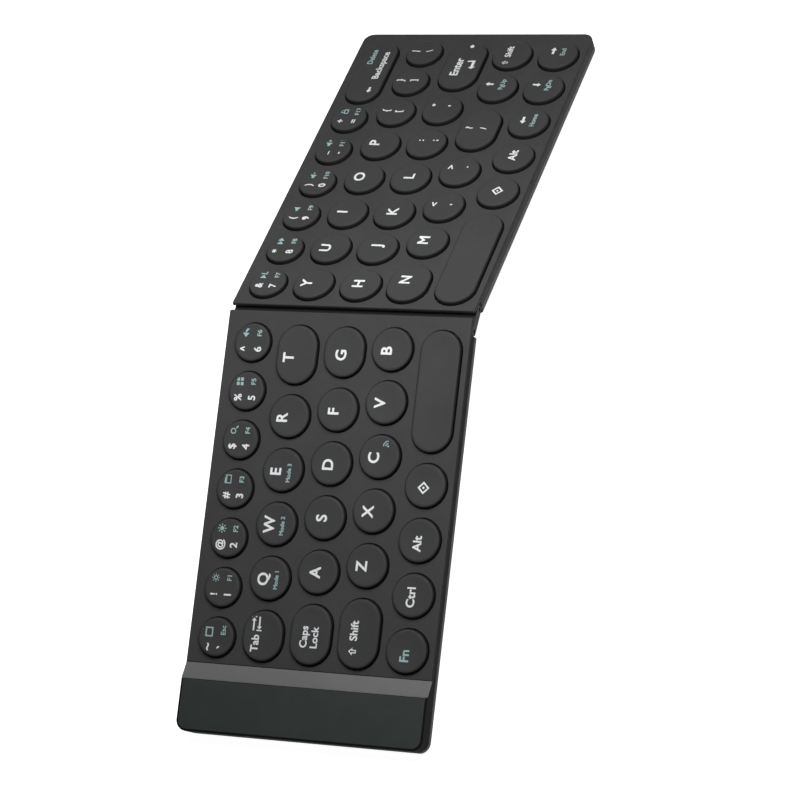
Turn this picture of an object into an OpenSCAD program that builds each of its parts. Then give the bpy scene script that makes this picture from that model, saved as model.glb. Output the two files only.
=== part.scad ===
// Two-half keyboard with round key caps. The halves fold back to back about a
// two-axis spine in the middle. Stored half folded, standing on the bottom edges
// of its two outer ends. X runs along the length (left half on -X), Y towards the
// number row, Z up. Origin at the centre of the footprint, on the floor.

/* [Fold] */
// Angle between the two halves at rest, 0 is flat
fold_deg = 34.2; // [20:1:60]

/* [Halves] */
// Length of one half, from the seam's middle to its outer end
half_len = 142.5; // [138:0.5:160]
// Depth of the keyboard, front to back
depth = 88.6; // [86.6:0.5:100]
// Thickness of one half, deck to underside
thick = 6.8; // [6.8:0.1:8]
// Radius of the outer corners
corner_r = 3.8; // [1:0.2:8]
// Half of the gap between the decks when flat
seam_gap = 0.1; // [0.05:0.05:0.4]
// Thickness of the deck plate
deck_t = 1.1; // [0.8:0.1:1.1]
// Thickness of the side walls
wall = 1.2; // [0.8:0.1:1.4]

/* [Bar] */
// Distance from the seam to the foot of the ramp
ramp_x = 119.5; // [119:0.5:122]
// Length of the ramp along the half
ramp_len = 5.4; // [3:0.2:8]
// Height of the bar above the deck
bar_h = 2.15; // [1:0.05:3]

/* [Hinge] */
// Half of the distance between the two hinge axes
axis_x = 4.15; // [4.15:0.05:4.4]
// Depth of the hinge axes below the deck
axis_d = 3.2; // [3.1:0.05:3.4]
// Radius of the spine's rounded edges and of the knuckles
spine_r = 1.5; // [1.3:0.05:1.5]
// Radius of a hinge pin
pin_r = 0.7; // [0.5:0.05:0.8]
// Width of one knuckle
knuckle_w = 9.7; // [6:0.1:9.7]
// Distance of each hinge unit from the middle of the depth
unit_y = 25.4; // [25.2:0.1:25.6]

/* [Keys] */
// Diameter of the letter caps
cap_d = 14.7; // [14:0.1:15.2]
// Diameter of the number-row caps
num_d = 13.3; // [12:0.1:13.6]
// Height of the cap tops above the deck
cap_h = 1.45; // [1.4:0.05:2.2]
// Travel of a key, set by the joints
travel = 1.2; // [0.8:0.1:1.2]
// Gap between a cap and its hole in the deck
cap_gap = 0.3; // [0.25:0.05:0.5]
// Radius of a key's guide stem
stem_r = 1.52; // [1.2:0.02:1.54]
// Running clearance of a stem in the key frame
stem_gap = 0.08; // [0.04:0.01:0.1]

/* [Hidden] */

$fn = 64;
eps = 0.01;
half_deg = fold_deg / 2;
sy = depth / 2;
axis_h = (half_len - axis_x) * sin(half_deg) + (thick - axis_d) * cos(half_deg);
shift_x = bar_h * sin(half_deg) / 2;

// Levels, measured down from the deck
z_skirt = -0.4;
z_frame_top = -2.2;
z_frame_bot = -3.0;
z_sheet_top = -4.3;
z_board_top = -4.5;
z_board_bot = -5.1;
z_part = -3.4;
z_sill = -5.0;
z_floor = -5.9;
z_under = -thick;
cover_x = 5.9;
// Radius that the spine leaves free round a knuckle, so that its arm can turn
relief_r = spine_r + 0.85;
// Height above the table at which the outer ends' lower edges are bevelled
bevel_h = 0.4;

// Rows, by the distance of their centres from the middle of the depth
y_num = 33.8;
y_q = 16.95;
y_a = -0.25;
y_z = -17.35;
y_sp = -34.75;

// A key is [centre x, centre y, length along x, width along y]
function rnd(x, y, d) = [x, y, d, d];
function pill(x0, x1, y, w) = [(x0 + x1) / 2, y, x1 - x0, w];

left_numbers = [for (k = [0:6]) rnd(-11.25 - 16.58 * k, y_num, num_d)];
left_q_row = [for (k = [0:3]) rnd(-90.05 + 18.1 * k, y_q, cap_d)];
left_a_row = [for (k = [0:3]) rnd(-86.95 + 18.05 * k, y_a, cap_d)];
left_z_row = [for (k = [0:3]) rnd(-83.8 + 18.05 * k, y_z, cap_d)];
k_t = pill(-25.0, -4.8, y_q, cap_d);
k_g = pill(-22.0, -4.8, y_a, cap_d);
k_b = rnd(-11.85, y_z, cap_d);
k_tab = pill(-117.7, -100.7, y_q, cap_d);
k_caps = pill(-117.7, -97.6, y_a, cap_d);
k_lshift = pill(-117.7, -94.5, y_z, cap_d);
k_lspace = pill(-45.6, -4.8, y_sp, cap_d - 0.3);
left_mods = [for (k = [0:3]) rnd(-110.55 + 18.05 * k, y_sp, cap_d)];

right_numbers = [for (k = [0:5]) rnd(9.35 + 16.95 * k, y_num, num_d)];
right_q_row = [for (k = [0:4]) rnd(9.6 + 17.7 * k, y_q, cap_d - 0.2)];
right_a_row = [for (k = [0:3]) rnd(9.8 + 17.9 * k, y_a, cap_d)];
k_n = pill(2.4, 20.35, y_z, cap_d);
k_m = rnd(31.5, y_z, cap_d);
symbols = concat(
  [rnd(97.9, y_q, 14.2), rnd(114.35, y_q, 13.7), rnd(130.45, y_q, 13.5)],
  [rnd(81.4, y_a, cap_d), rnd(99.3, y_a, cap_d)],
  [rnd(49.35, y_z, cap_d), rnd(67.2, y_z, cap_d), pill(78.35, 99.65, y_z, cap_d)]);
k_back = pill(103.1, 136.1, y_num, num_d);
k_enter = pill(110.25, 136.25, y_a, cap_d);
k_rshift = rnd(129.1, y_z, cap_d);
k_rspace = pill(2.4, 46.05, y_sp, cap_d - 0.3);
right_mods = concat(
  [rnd(111.3, y_z, cap_d)],
  [for (k = [0:4]) rnd(56.9 + 18 * k, y_sp, cap_d)]);

left_keys = concat(left_numbers, left_q_row, left_a_row, left_z_row, left_mods,
  [k_t, k_g, k_b, k_tab, k_caps, k_lshift, k_lspace]);
right_keys = concat(right_numbers, right_q_row, right_a_row, symbols, right_mods,
  [k_n, k_m, k_back, k_enter, k_rshift, k_rspace]);

// Posts that hold the covers together, in the spaces between caps
left_posts = [[-83.5, 26.3], [-19.5, 28.3], [-93.0, -24.5], [-20.75, -22.6]];
right_posts = [[35.5, 26.6], [103.5, 26.0], [40.4, -22.6], [120.1, -26.1]];
bar_posts = [[-121.9, -39.5], [-121.9, 22.5]];

// A long key has two guide stems, every other key has one
function stems(k) = k[2] > 24 ? [-(k[2] / 2 - 9.4), k[2] / 2 - 9.4] : [0];

// Placement of each half and of the spine at rest
module in_left() {
  translate([shift_x - axis_x, 0, axis_h]) rotate([0, -half_deg, 0])
    translate([axis_x, 0, axis_d]) children();
}
module in_right() {
  translate([shift_x + axis_x, 0, axis_h]) rotate([0, half_deg, 0])
    translate([-axis_x, 0, axis_d]) children();
}
module in_spine() {
  translate([shift_x, 0, axis_h + axis_d]) children();
}

// Flat outline of a pill or a circle
module pill2(l, w) {
  if (l > w) {
    square([l - w, w], center = true);
    for (s = [-1, 1]) translate([s * (l - w) / 2, 0]) circle(d = w);
  } else circle(d = w);
}

// Plate from the seam side x0 to the outer end x1, with round corners at x1
module half2(x0, x1, d, r) {
  s = x1 > x0 ? 1 : -1;
  union() {
    translate([min(x0, x1 - s * r), -d / 2]) square([abs(x1 - x0) - r, d]);
    translate([min(x0, x1), -d / 2 + r]) square([abs(x1 - x0), d - 2 * r]);
    for (t = [-1, 1]) translate([x1 - s * r, t * (d / 2 - r)]) circle(r = r);
  }
}

module slab(z0, z1) {
  translate([0, 0, z0]) linear_extrude(height = z1 - z0) children();
}

module box3(x0, x1, y0, y1, z0, z1) {
  translate([x0, y0, z0]) cube([x1 - x0, y1 - y0, z1 - z0]);
}

// One cap with its stems
module cap(k) {
  translate([k[0], k[1], 0]) {
    difference() {
      slab(z_skirt, cap_h) pill2(k[2], k[3]);
      slab(z_skirt - 1, 0.5) pill2(k[2] - 2.4, k[3] - 2.4);
    }
    for (dx = stems(k)) translate([dx, 0, -3.05]) cylinder(r = stem_r, h = 3.05 + 0.8);
  }
}
module caps(list) {
  for (k = list) cap(k);
}

// Deck plate, side walls and posts of each half
module left_top_cover() {
  color("#45464a") in_left() difference() {
    union() {
      difference() {
        box3(-ramp_x, -seam_gap, -sy, sy, z_part, 0);
        box3(-ramp_x - 1, -cover_x, -sy + wall, sy - wall, z_part - 1, -deck_t);
        box3(-cover_x - eps, 1, -sy - 1, sy + 1, z_part - 1, -deck_t);
      }
      posts(left_posts);
    }
    key_holes(left_keys);
  }
}

module right_top_cover() {
  color("#47484c") in_right() difference() {
    union() {
      difference() {
        slab(z_part, 0) half2(seam_gap, half_len, depth, corner_r);
        slab(z_part - 1, -deck_t) half2(cover_x, half_len - wall, depth - 2 * wall, corner_r - wall);
        box3(-1, cover_x + eps, -sy - 1, sy + 1, z_part - 1, -deck_t);
      }
      posts(right_posts);
    }
    key_holes(right_keys);
  }
}

module posts(list) {
  for (p = list) translate([p[0], p[1], 0]) {
    translate([0, 0, z_frame_top]) cylinder(r = 2.2, h = -z_frame_top - 0.5);
    translate([0, 0, z_floor]) cylinder(r = 1.6, h = -z_floor - 0.5);
    translate([0, 0, z_floor - 0.8]) cylinder(r = 0.9, h = 1.5);
  }
}

module key_holes(keys) {
  for (k = keys) translate([k[0], k[1], 0])
    slab(-deck_t - 0.5, 1) pill2(k[2] + 2 * cap_gap, k[3] + 2 * cap_gap);
}

// Floor plate, low rim, rests for the board and pockets for the feet
module bottom_cover(s, post_list) {
  difference() {
    union() {
      slab(z_under, z_floor) half2(s * cover_x, s * half_len, depth, corner_r);
      difference() {
        slab(z_floor - eps, z_part) half2(s * cover_x, s * half_len, depth, corner_r);
        slab(z_floor - 1, z_part + 1) half2(s * (cover_x - 1), s * (half_len - wall), depth - 2 * wall, corner_r - wall);
      }
      box3(min(s * cover_x, s * (cover_x + 1)), max(s * cover_x, s * (cover_x + 1)), -sy + 0.5, sy - 0.5, z_floor - eps, z_sill);
      for (y = [-41.6, -9, 8, 41.6])
        box3(min(s * 9, s * 117), max(s * 9, s * 117), y - 0.5, y + 0.5, z_floor - eps, z_board_bot);
    }
    for (p = post_list) translate([p[0], p[1], z_under - 1]) cylinder(r = 0.95, h = 4);
    for (y = [-1, 1]) {
      translate([s * foot_x, y * foot_y, 0])
        slab(z_under - 1, z_under + 0.4) pill2(foot_l + 0.2, foot_w + 0.2);
      box3(min(s * (half_len - 3.5), s * (half_len + 1)), max(s * (half_len - 3.5), s * (half_len + 1)),
        y * strip_y - strip_l / 2 - 0.1, y * strip_y + strip_l / 2 + 0.1, z_under - 1, z_under + 0.4);
    }
    // passages for the hinge leaves
    for (y = [-1, 1]) translate([0, y * unit_y, 0])
      box3(min(s * 5, s * 7.4), max(s * 5, s * 7.4), -knuckle_w / 2 - 0.3, knuckle_w / 2 + 0.3, z_floor, 0);
  }
}
foot_x = 22;
foot_y = 36.5;
foot_l = 14;
foot_w = 5;
// Rubber strips along the outer ends: distance from the middle, and length
strip_y = 30;
strip_l = 16;

module left_bottom_cover() {
  color("#3c3d40") difference() {
    in_left() bottom_cover(-1, concat(left_posts, bar_posts));
    translate([-200, -100, -10]) cube([400, 200, 10 + bevel_h]);
  }
}
module right_bottom_cover() {
  color("#3c3d40") difference() {
    in_right() bottom_cover(1, right_posts);
    translate([-200, -100, -10]) cube([400, 200, 10 + bevel_h]);
  }
}

// Round-ended pads near the seam, and strips at the outer end whose sloping
// faces stand on the table when the halves are folded like a tent
module feet(s) {
  for (y = [-1, 1]) {
    translate([s * foot_x, y * foot_y, 0])
      slab(z_under - 0.5, z_under + 0.4) pill2(foot_l, foot_w);
    translate([0, y * strip_y, 0]) rotate([90, 0, 0]) linear_extrude(height = strip_l, center = true)
      polygon([
        [s * (half_len - 0.3), z_under - 0.3 * tan(half_deg)],
        [s * (half_len - 0.5 / tan(half_deg)), z_under - 0.5],
        [s * (half_len - 3.4), z_under - 0.5], [s * (half_len - 3.4), z_under + 0.4],
        [s * (half_len - 0.3), z_under + 0.4]]);
  }
}
module left_feet() { color("#202022") in_left() feet(-1); }
module right_feet() { color("#202022") in_right() feet(1); }

// Raised bar: walls, ramp and a shallow pocket for the dark panel
module bar_profile(t) {
  // outline seen from the front, shrunk by t inside the top and the ramp
  polygon([
    [-ramp_x - (t > 0 ? -1 : 0), t > 0 ? z_part - 1 : z_part],
    [-ramp_x - (t > 0 ? -1 : 0), 0 - t],
    [-ramp_x - t * 0.2, 0 - t],
    [-ramp_x - ramp_len - t * 0.2, bar_h - t],
    [-half_len - 1, bar_h - t],
    [-half_len - 1, t > 0 ? z_part - 1 : z_part]]);
}
module bar_housing() {
  color("#5a5b5d") in_left() difference() {
    union() {
      difference() {
        intersection() {
          rotate([90, 0, 0]) linear_extrude(height = depth, center = true) bar_profile(0);
          slab(z_part, bar_h + 1) half2(-ramp_x, -half_len, depth, corner_r);
        }
        intersection() {
          rotate([90, 0, 0]) linear_extrude(height = depth, center = true) bar_profile(deck_t);
          slab(z_part - 1, bar_h) half2(-ramp_x + 1, -half_len + wall, depth - 2 * wall, corner_r - wall);
        }
      }
      for (p = bar_posts) translate([p[0], p[1], 0]) {
        translate([0, 0, z_floor]) cylinder(r = 1.5, h = -z_floor + 0.1);
        translate([0, 0, z_floor - 0.8]) cylinder(r = 0.9, h = 1.5);
      }
    }
    // pocket for the panel
    slab(bar_h - panel_t, bar_h + 1) half2(-panel_x0 + 0.05, -half_len + panel_in - 0.05, depth - 2 * panel_in + 0.1, corner_r - panel_in);
    // charging socket and switch slot in the back wall
    translate([socket_x, sy, socket_z]) rotate([90, 0, 0]) linear_extrude(height = 3, center = true) pill2(socket_w + 0.2, socket_t + 0.2);
    box3(switch_x - 1.9, switch_x + 3.9, sy - 0.6, sy + 1, socket_z - 1.2, socket_z + 1.2);
    box3(switch_x - 1.4, switch_x + 3.4, sy - 3, sy + 1, socket_z - 0.75, socket_z + 0.75);
  }
}
panel_t = 0.6;
panel_x0 = ramp_x + ramp_len + 0.35;
panel_in = 0.7;
socket_x = -133.5;
socket_z = -1.7;
socket_w = 9;
socket_t = 3.2;
switch_x = -126.3;
z_riser = socket_z - 1.6;

module bar_top_panel() {
  color("#333836") in_left()
    slab(bar_h - panel_t, bar_h) half2(-panel_x0, -half_len + panel_in, depth - 2 * panel_in, corner_r - panel_in - 0.05);
}

module battery_cell() {
  color("#8a8f96") in_left() {
    box3(-140.6, -124.8, -36, 24, z_floor, 0.6);
    box3(-135, -129, 24 - eps, 25.2, z_floor + 0.4, -3);
  }
}

module charge_socket() {
  color("#b9bcc0") in_left() translate([socket_x, 0, socket_z]) {
    difference() {
      translate([0, sy - 0.15, 0]) rotate([90, 0, 0]) linear_extrude(height = 7) pill2(socket_w, socket_t);
      translate([0, sy + 1, 0]) rotate([90, 0, 0]) linear_extrude(height = 7.2) pill2(socket_w - 0.6, socket_t - 0.6);
    }
    // contact tongue, and the foot that sits on the board
    box3(-3.3, 3.3, sy - 7, sy - 1.6, -0.35, 0.35);
    box3(-3.6, 3.6, sy - 7, sy - 2.5, -1.6, -1.45);
  }
}

module power_switch() {
  color("#2c2d30") in_left() translate([switch_x, sy, socket_z]) {
    box3(-1.2, 1.2, -1.6, -0.2, -0.65, 0.65);
    box3(-2.1, 2.1, -2.4, -1.35, -1.15, 1.15);
    for (x = [-0.8, 0, 0.8]) box3(x - 0.18, x + 0.18, -0.25, -0.05, -0.65, 0.65);
  }
}

// Plate that guides the key stems
module key_frame(x0, x1, keys, post_list) {
  difference() {
    box3(min(x0, x1), max(x0, x1), -42.5, 42.5, z_frame_bot, z_frame_top);
    for (k = keys, dx = stems(k)) translate([k[0] + dx, k[1], z_frame_bot - 1]) cylinder(r = stem_r + stem_gap, h = 3);
    for (p = post_list) translate([p[0], p[1], z_frame_bot - 1]) cylinder(r = 1.75, h = 3);
  }
}
module left_key_frame() { color("#9fa3a8") in_left() key_frame(-119, -7.5, left_keys, left_posts); }
module right_key_frame() { color("#9fa3a8") in_right() key_frame(7.0, 140.2, right_keys, right_posts); }

// Rubber sheet with one open sleeve per stem
module dome_sheet(x0, x1, keys, post_list) {
  difference() {
    union() {
      box3(min(x0, x1), max(x0, x1), -42.5, 42.5, z_board_top, z_sheet_top);
      for (k = keys, dx = stems(k)) translate([k[0] + dx, k[1], z_sheet_top - 0.1]) cylinder(r = 2.5, h = z_frame_bot - z_sheet_top + 0.1);
    }
    for (k = keys, dx = stems(k)) translate([k[0] + dx, k[1], z_sheet_top]) cylinder(r = 1.75, h = 3);
    for (p = post_list) translate([p[0], p[1], z_board_top - 1]) cylinder(r = 1.9, h = 3);
  }
}
module left_dome_sheet() { color("#c9c4b8") in_left() dome_sheet(-118.4, -7.5, left_keys, left_posts); }
module right_dome_sheet() { color("#c9c4b8") in_right() dome_sheet(7.05, 140.2, right_keys, right_posts); }

module board(x0, x1, post_list) {
  difference() {
    box3(min(x0, x1), max(x0, x1), -42.5, 42.5, z_board_bot, z_board_top);
    for (p = post_list) translate([p[0], p[1], z_board_bot - 1]) cylinder(r = 1.9, h = 3);
  }
}
module left_circuit_board() {
  color("#2f6a45") in_left() {
    board(-119, -7.5, left_posts);
    box3(-121, -118.5, 26, 42.4, z_board_bot, z_riser);
    box3(-140.5, -118.5, 26, 42.4, z_riser - 0.6, z_riser);
  }
}
module right_circuit_board() { color("#2f6a45") in_right() board(7.05, 140.2, right_posts); }

// Steel leaves: a knuckle on the hinge axis, an arm and a flat foot on the floor
module leaf(s) {
  difference() {
    rotate([90, 0, 0]) linear_extrude(height = knuckle_w, center = true) union() {
      translate([s * axis_x, -axis_d]) circle(r = spine_r);
      polygon([
        [s * axis_x, -axis_d - spine_r], [s * 5.95, -axis_d - spine_r],
        [s * 5.95, z_floor], [s * 17, z_floor], [s * 17, z_floor + 0.7],
        [s * 6.9, z_floor + 0.7], [s * 6.9, -3.5], [s * axis_x, -3.5]]);
    }
    translate([s * axis_x, 0, -axis_d]) rotate([90, 0, 0]) cylinder(r = pin_r + 0.06, h = knuckle_w + 2, center = true);
  }
}
module left_hinge_leaves() {
  color("#a7a9ac") in_left() for (y = [-1, 1]) translate([0, y * unit_y, 0]) leaf(-1);
}
module right_hinge_leaves() {
  color("#a7a9ac") in_right() for (y = [-1, 1]) translate([0, y * unit_y, 0]) leaf(1);
}

// Spine bar with both hinge axes, cut back where the knuckles turn
module hinge_spine() {
  color("#1d1e20") in_spine() difference() {
    rotate([90, 0, 0]) linear_extrude(height = depth - 0.6, center = true)
      translate([0, -axis_d]) pill2(2 * axis_x + 2 * spine_r, 2 * spine_r);
    for (s = [-1, 1], y = [-1, 1]) translate([s * axis_x, y * unit_y, -axis_d]) {
      rotate([90, 0, 0]) cylinder(r = relief_r, h = knuckle_w + 0.3, center = true);
      translate([s * 2, 0, 0]) cube([4, knuckle_w + 0.3, 4], center = true);
    }
    for (s = [-1, 1], y = [-1, 1]) translate([s * axis_x, y * (sy + 1), -axis_d])
      rotate([y * 90, 0, 0]) cylinder(r = pin_r + 0.02, h = sy + 1 - 18.6);
  }
}
module hinge_pins() {
  color("#c2c4c7") in_spine()
    for (s = [-1, 1], y = [-1, 1]) translate([s * axis_x, y * (sy - 0.8), -axis_d])
      rotate([y * 90, 0, 0]) cylinder(r = pin_r, h = sy - 0.8 - 18.7);
}

module left_cap(k) { color("#4a4b4e") in_left() cap(k); }
module right_cap(k) { color("#4c4d50") in_right() cap(k); }
module left_caps(l) { color("#4a4b4e") in_left() caps(l); }
module right_caps(l) { color("#4c4d50") in_right() caps(l); }

module key_q() { left_cap(left_q_row[0]); }
module key_w() { left_cap(left_q_row[1]); }
module key_e() { left_cap(left_q_row[2]); }
module key_r() { left_cap(left_q_row[3]); }
module key_t() { left_cap(k_t); }
module key_a() { left_cap(left_a_row[0]); }
module key_s() { left_cap(left_a_row[1]); }
module key_d() { left_cap(left_a_row[2]); }
module key_f() { left_cap(left_a_row[3]); }
module key_g() { left_cap(k_g); }
module key_z() { left_cap(left_z_row[0]); }
module key_x() { left_cap(left_z_row[1]); }
module key_c() { left_cap(left_z_row[2]); }
module key_v() { left_cap(left_z_row[3]); }
module key_b() { left_cap(k_b); }
module key_tab() { left_cap(k_tab); }
module key_caps_lock() { left_cap(k_caps); }
module key_left_shift() { left_cap(k_lshift); }
module key_left_space() { left_cap(k_lspace); }
module keys_left_numbers() { left_caps(left_numbers); }
module keys_left_modifiers() { left_caps(left_mods); }
module key_y() { right_cap(right_q_row[0]); }
module key_u() { right_cap(right_q_row[1]); }
module key_i() { right_cap(right_q_row[2]); }
module key_o() { right_cap(right_q_row[3]); }
module key_p() { right_cap(right_q_row[4]); }
module key_h() { right_cap(right_a_row[0]); }
module key_j() { right_cap(right_a_row[1]); }
module key_k() { right_cap(right_a_row[2]); }
module key_l() { right_cap(right_a_row[3]); }
module key_n() { right_cap(k_n); }
module key_m() { right_cap(k_m); }
module key_backspace() { right_cap(k_back); }
module key_enter() { right_cap(k_enter); }
module key_right_shift() { right_cap(k_rshift); }
module key_right_space() { right_cap(k_rspace); }
module keys_right_numbers() { right_caps(right_numbers); }
module keys_symbols() { right_caps(symbols); }
module keys_arrows_modifiers() { right_caps(right_mods); }

left_top_cover();
left_bottom_cover();
bar_housing();
bar_top_panel();
left_key_frame();
left_dome_sheet();
left_circuit_board();
battery_cell();
charge_socket();
power_switch();
left_hinge_leaves();
left_feet();
right_top_cover();
right_bottom_cover();
right_key_frame();
right_dome_sheet();
right_circuit_board();
right_hinge_leaves();
right_feet();
hinge_spine();
hinge_pins();
key_q();
key_w();
key_e();
key_r();
key_t();
key_a();
key_s();
key_d();
key_f();
key_g();
key_z();
key_x();
key_c();
key_v();
key_b();
key_tab();
key_caps_lock();
key_left_shift();
key_left_space();
keys_left_numbers();
keys_left_modifiers();
key_y();
key_u();
key_i();
key_o();
key_p();
key_h();
key_j();
key_k();
key_l();
key_n();
key_m();
key_backspace();
key_enter();
key_right_shift();
key_right_space();
keys_right_numbers();
keys_symbols();
keys_arrows_modifiers();
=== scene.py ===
"""Studio scene of a two-half folding keyboard, standing half folded on its outer ends."""
import math

import bmesh
import bpy
from mathutils import Matrix, Vector
from mathutils.geometry import delaunay_2d_cdt, tessellate_polygon


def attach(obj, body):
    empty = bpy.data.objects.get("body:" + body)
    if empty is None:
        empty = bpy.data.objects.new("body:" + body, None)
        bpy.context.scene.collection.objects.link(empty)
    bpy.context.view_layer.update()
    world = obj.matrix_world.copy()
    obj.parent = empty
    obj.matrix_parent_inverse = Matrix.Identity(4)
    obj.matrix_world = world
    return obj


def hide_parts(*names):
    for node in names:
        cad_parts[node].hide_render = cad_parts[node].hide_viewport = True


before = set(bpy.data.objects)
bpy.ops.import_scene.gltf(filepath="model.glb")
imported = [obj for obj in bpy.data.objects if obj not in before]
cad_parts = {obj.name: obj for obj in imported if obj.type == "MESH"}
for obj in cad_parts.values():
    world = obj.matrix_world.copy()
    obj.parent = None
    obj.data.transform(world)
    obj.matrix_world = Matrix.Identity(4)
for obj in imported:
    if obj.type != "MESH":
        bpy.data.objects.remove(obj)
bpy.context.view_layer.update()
scene = bpy.context.scene

# ------------------------------------------------------------------ placement
# Panel-local millimetres: x from the seam, y from the middle of the depth,
# z from the deck's top. The same numbers place the CAD nodes.
HALF = math.radians(17.1)
HALF_LEN, DEPTH, THICK = 142.5, 88.6, 6.8
AXIS_X, AXIS_D, BAR_H = 4.15, 3.2, 2.15
RAMP_X, RAMP_LEN = 119.5, 5.4
SY = DEPTH / 2
AXIS_H = (HALF_LEN - AXIS_X) * math.sin(HALF) + (THICK - AXIS_D) * math.cos(HALF)
SHIFT_X = BAR_H * math.sin(HALF) / 2
Z_PART, Z_FLOOR, Z_UNDER = -3.4, -5.9, -6.8
SCALE = Matrix.Diagonal((0.001, 0.001, 0.001, 1.0))
LEFT = (SCALE @ Matrix.Translation((SHIFT_X - AXIS_X, 0, AXIS_H))
        @ Matrix.Rotation(-HALF, 4, "Y") @ Matrix.Translation((AXIS_X, 0, AXIS_D)))
RIGHT = (SCALE @ Matrix.Translation((SHIFT_X + AXIS_X, 0, AXIS_H))
         @ Matrix.Rotation(HALF, 4, "Y") @ Matrix.Translation((-AXIS_X, 0, AXIS_D)))
SPINE = SCALE @ Matrix.Translation((SHIFT_X, 0, AXIS_H + AXIS_D))


# ------------------------------------------------------------------ materials
def rgb(r, g, b):
    return (r, g, b, 1.0)


def new_material(name):
    m = bpy.data.materials.new(name)
    m.use_nodes = True
    t = m.node_tree
    t.nodes.clear()
    out = t.nodes.new("ShaderNodeOutputMaterial")
    bsdf = t.nodes.new("ShaderNodeBsdfPrincipled")
    t.links.new(bsdf.outputs["BSDF"], out.inputs["Surface"])
    return m, t, bsdf


def noise(t, vector, scale, detail=2.0, rough=0.5):
    n = t.nodes.new("ShaderNodeTexNoise")
    n.inputs["Scale"].default_value = scale
    n.inputs["Detail"].default_value = detail
    n.inputs["Roughness"].default_value = rough
    t.links.new(vector, n.inputs["Vector"])
    return n.outputs["Fac"]


def ramp(t, fac, stops):
    r = t.nodes.new("ShaderNodeValToRGB")
    e = r.color_ramp.elements
    e[0].position, e[0].color = stops[0]
    e[1].position, e[1].color = stops[-1]
    for p, c in stops[1:-1]:
        x = e.new(p)
        x.color = c
    t.links.new(fac, r.inputs["Fac"])
    return r.outputs["Color"]


def span(t, fac, lo, hi):
    m = t.nodes.new("ShaderNodeMapRange")
    m.inputs["From Min"].default_value = 0.3
    m.inputs["From Max"].default_value = 0.7
    m.inputs["To Min"].default_value = lo
    m.inputs["To Max"].default_value = hi
    t.links.new(fac, m.inputs["Value"])
    return m.outputs["Result"]


def bump(t, height, distance, strength, normal=None):
    b = t.nodes.new("ShaderNodeBump")
    b.inputs["Distance"].default_value = distance
    b.inputs["Strength"].default_value = strength
    t.links.new(height, b.inputs["Height"])
    if normal is not None:
        t.links.new(normal, b.inputs["Normal"])
    return b.outputs["Normal"]


def plastic(name, base, rough=0.5, specular=0.5, grain=2600.0, depth=0.00002, strength=0.35,
            vary=0.06, wear=0.0, rough_vary=0.05, coat=0.0, up=None, side=None, steep=(0.5, 0.94)):
    """Moulded or painted plastic: fine grain, slow colour drift, worn edges.
    With side, faces that turn away from the direction up take that colour: painted shade on walls and rims."""
    m, t, b = new_material(name)
    co = t.nodes.new("ShaderNodeTexCoord").outputs["Object"]
    slow = noise(t, co, 55.0, 3.0, 0.55)
    lo = rgb(*[c * (1 - vary) for c in base])
    hi = rgb(*[c * (1 + vary) for c in base])
    col = ramp(t, slow, [(0.3, lo), (0.7, hi)])
    speck = noise(t, co, grain * 1.3, 1.0, 0.5)
    mix = t.nodes.new("ShaderNodeMix")
    mix.data_type = "RGBA"
    mix.blend_type = "MULTIPLY"
    mix.inputs["Factor"].default_value = 0.5
    t.links.new(col, mix.inputs[6])
    t.links.new(ramp(t, speck, [(0.35, rgb(0.86, 0.86, 0.86)), (0.65, rgb(1.14, 1.14, 1.14))]), mix.inputs[7])
    colour = mix.outputs[2]
    if wear > 0:
        geo = t.nodes.new("ShaderNodeNewGeometry")
        edge = ramp(t, geo.outputs["Pointiness"], [(0.52, rgb(0, 0, 0)), (0.60, rgb(1, 1, 1))])
        part = t.nodes.new("ShaderNodeMath")
        part.operation = "MULTIPLY"
        t.links.new(edge, part.inputs[0])
        part.inputs[1].default_value = wear
        worn = t.nodes.new("ShaderNodeMix")
        worn.data_type = "RGBA"
        t.links.new(part.outputs[0], worn.inputs["Factor"])
        t.links.new(colour, worn.inputs[6])
        worn.inputs[7].default_value = rgb(*[min(1.0, c * 2.2 + 0.02) for c in base])
        colour = worn.outputs[2]
    # painted shade: faces that turn away from up are darkened towards the side colour
    if side is not None:
        dot = t.nodes.new("ShaderNodeVectorMath")
        dot.operation = "DOT_PRODUCT"
        t.links.new(t.nodes.new("ShaderNodeTexCoord").outputs["Normal"], dot.inputs[0])
        dot.inputs[1].default_value = up
        part = t.nodes.new("ShaderNodeMapRange")
        part.interpolation_type = "SMOOTHSTEP"
        part.inputs["From Min"].default_value, part.inputs["From Max"].default_value = steep
        t.links.new(dot.outputs["Value"], part.inputs["Value"])
        painted_shade_mix = t.nodes.new("ShaderNodeMix")
        painted_shade_mix.data_type = "RGBA"
        t.links.new(part.outputs["Result"], painted_shade_mix.inputs["Factor"])
        painted_shade_mix.inputs[6].default_value = rgb(*side)
        t.links.new(colour, painted_shade_mix.inputs[7])
        colour = painted_shade_mix.outputs[2]
    t.links.new(colour, b.inputs["Base Color"])
    t.links.new(span(t, noise(t, co, 240.0, 2.0), rough - rough_vary, rough + rough_vary), b.inputs["Roughness"])
    n = bump(t, noise(t, co, grain, 2.0, 0.6), depth, strength)
    n = bump(t, noise(t, co, 90.0, 1.0), 0.00004, 0.08, n)
    t.links.new(n, b.inputs["Normal"])
    b.inputs["Specular IOR Level"].default_value = specular
    if coat:
        b.inputs["Coat Weight"].default_value = coat
        b.inputs["Coat Roughness"].default_value = 0.18
    return m


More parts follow.
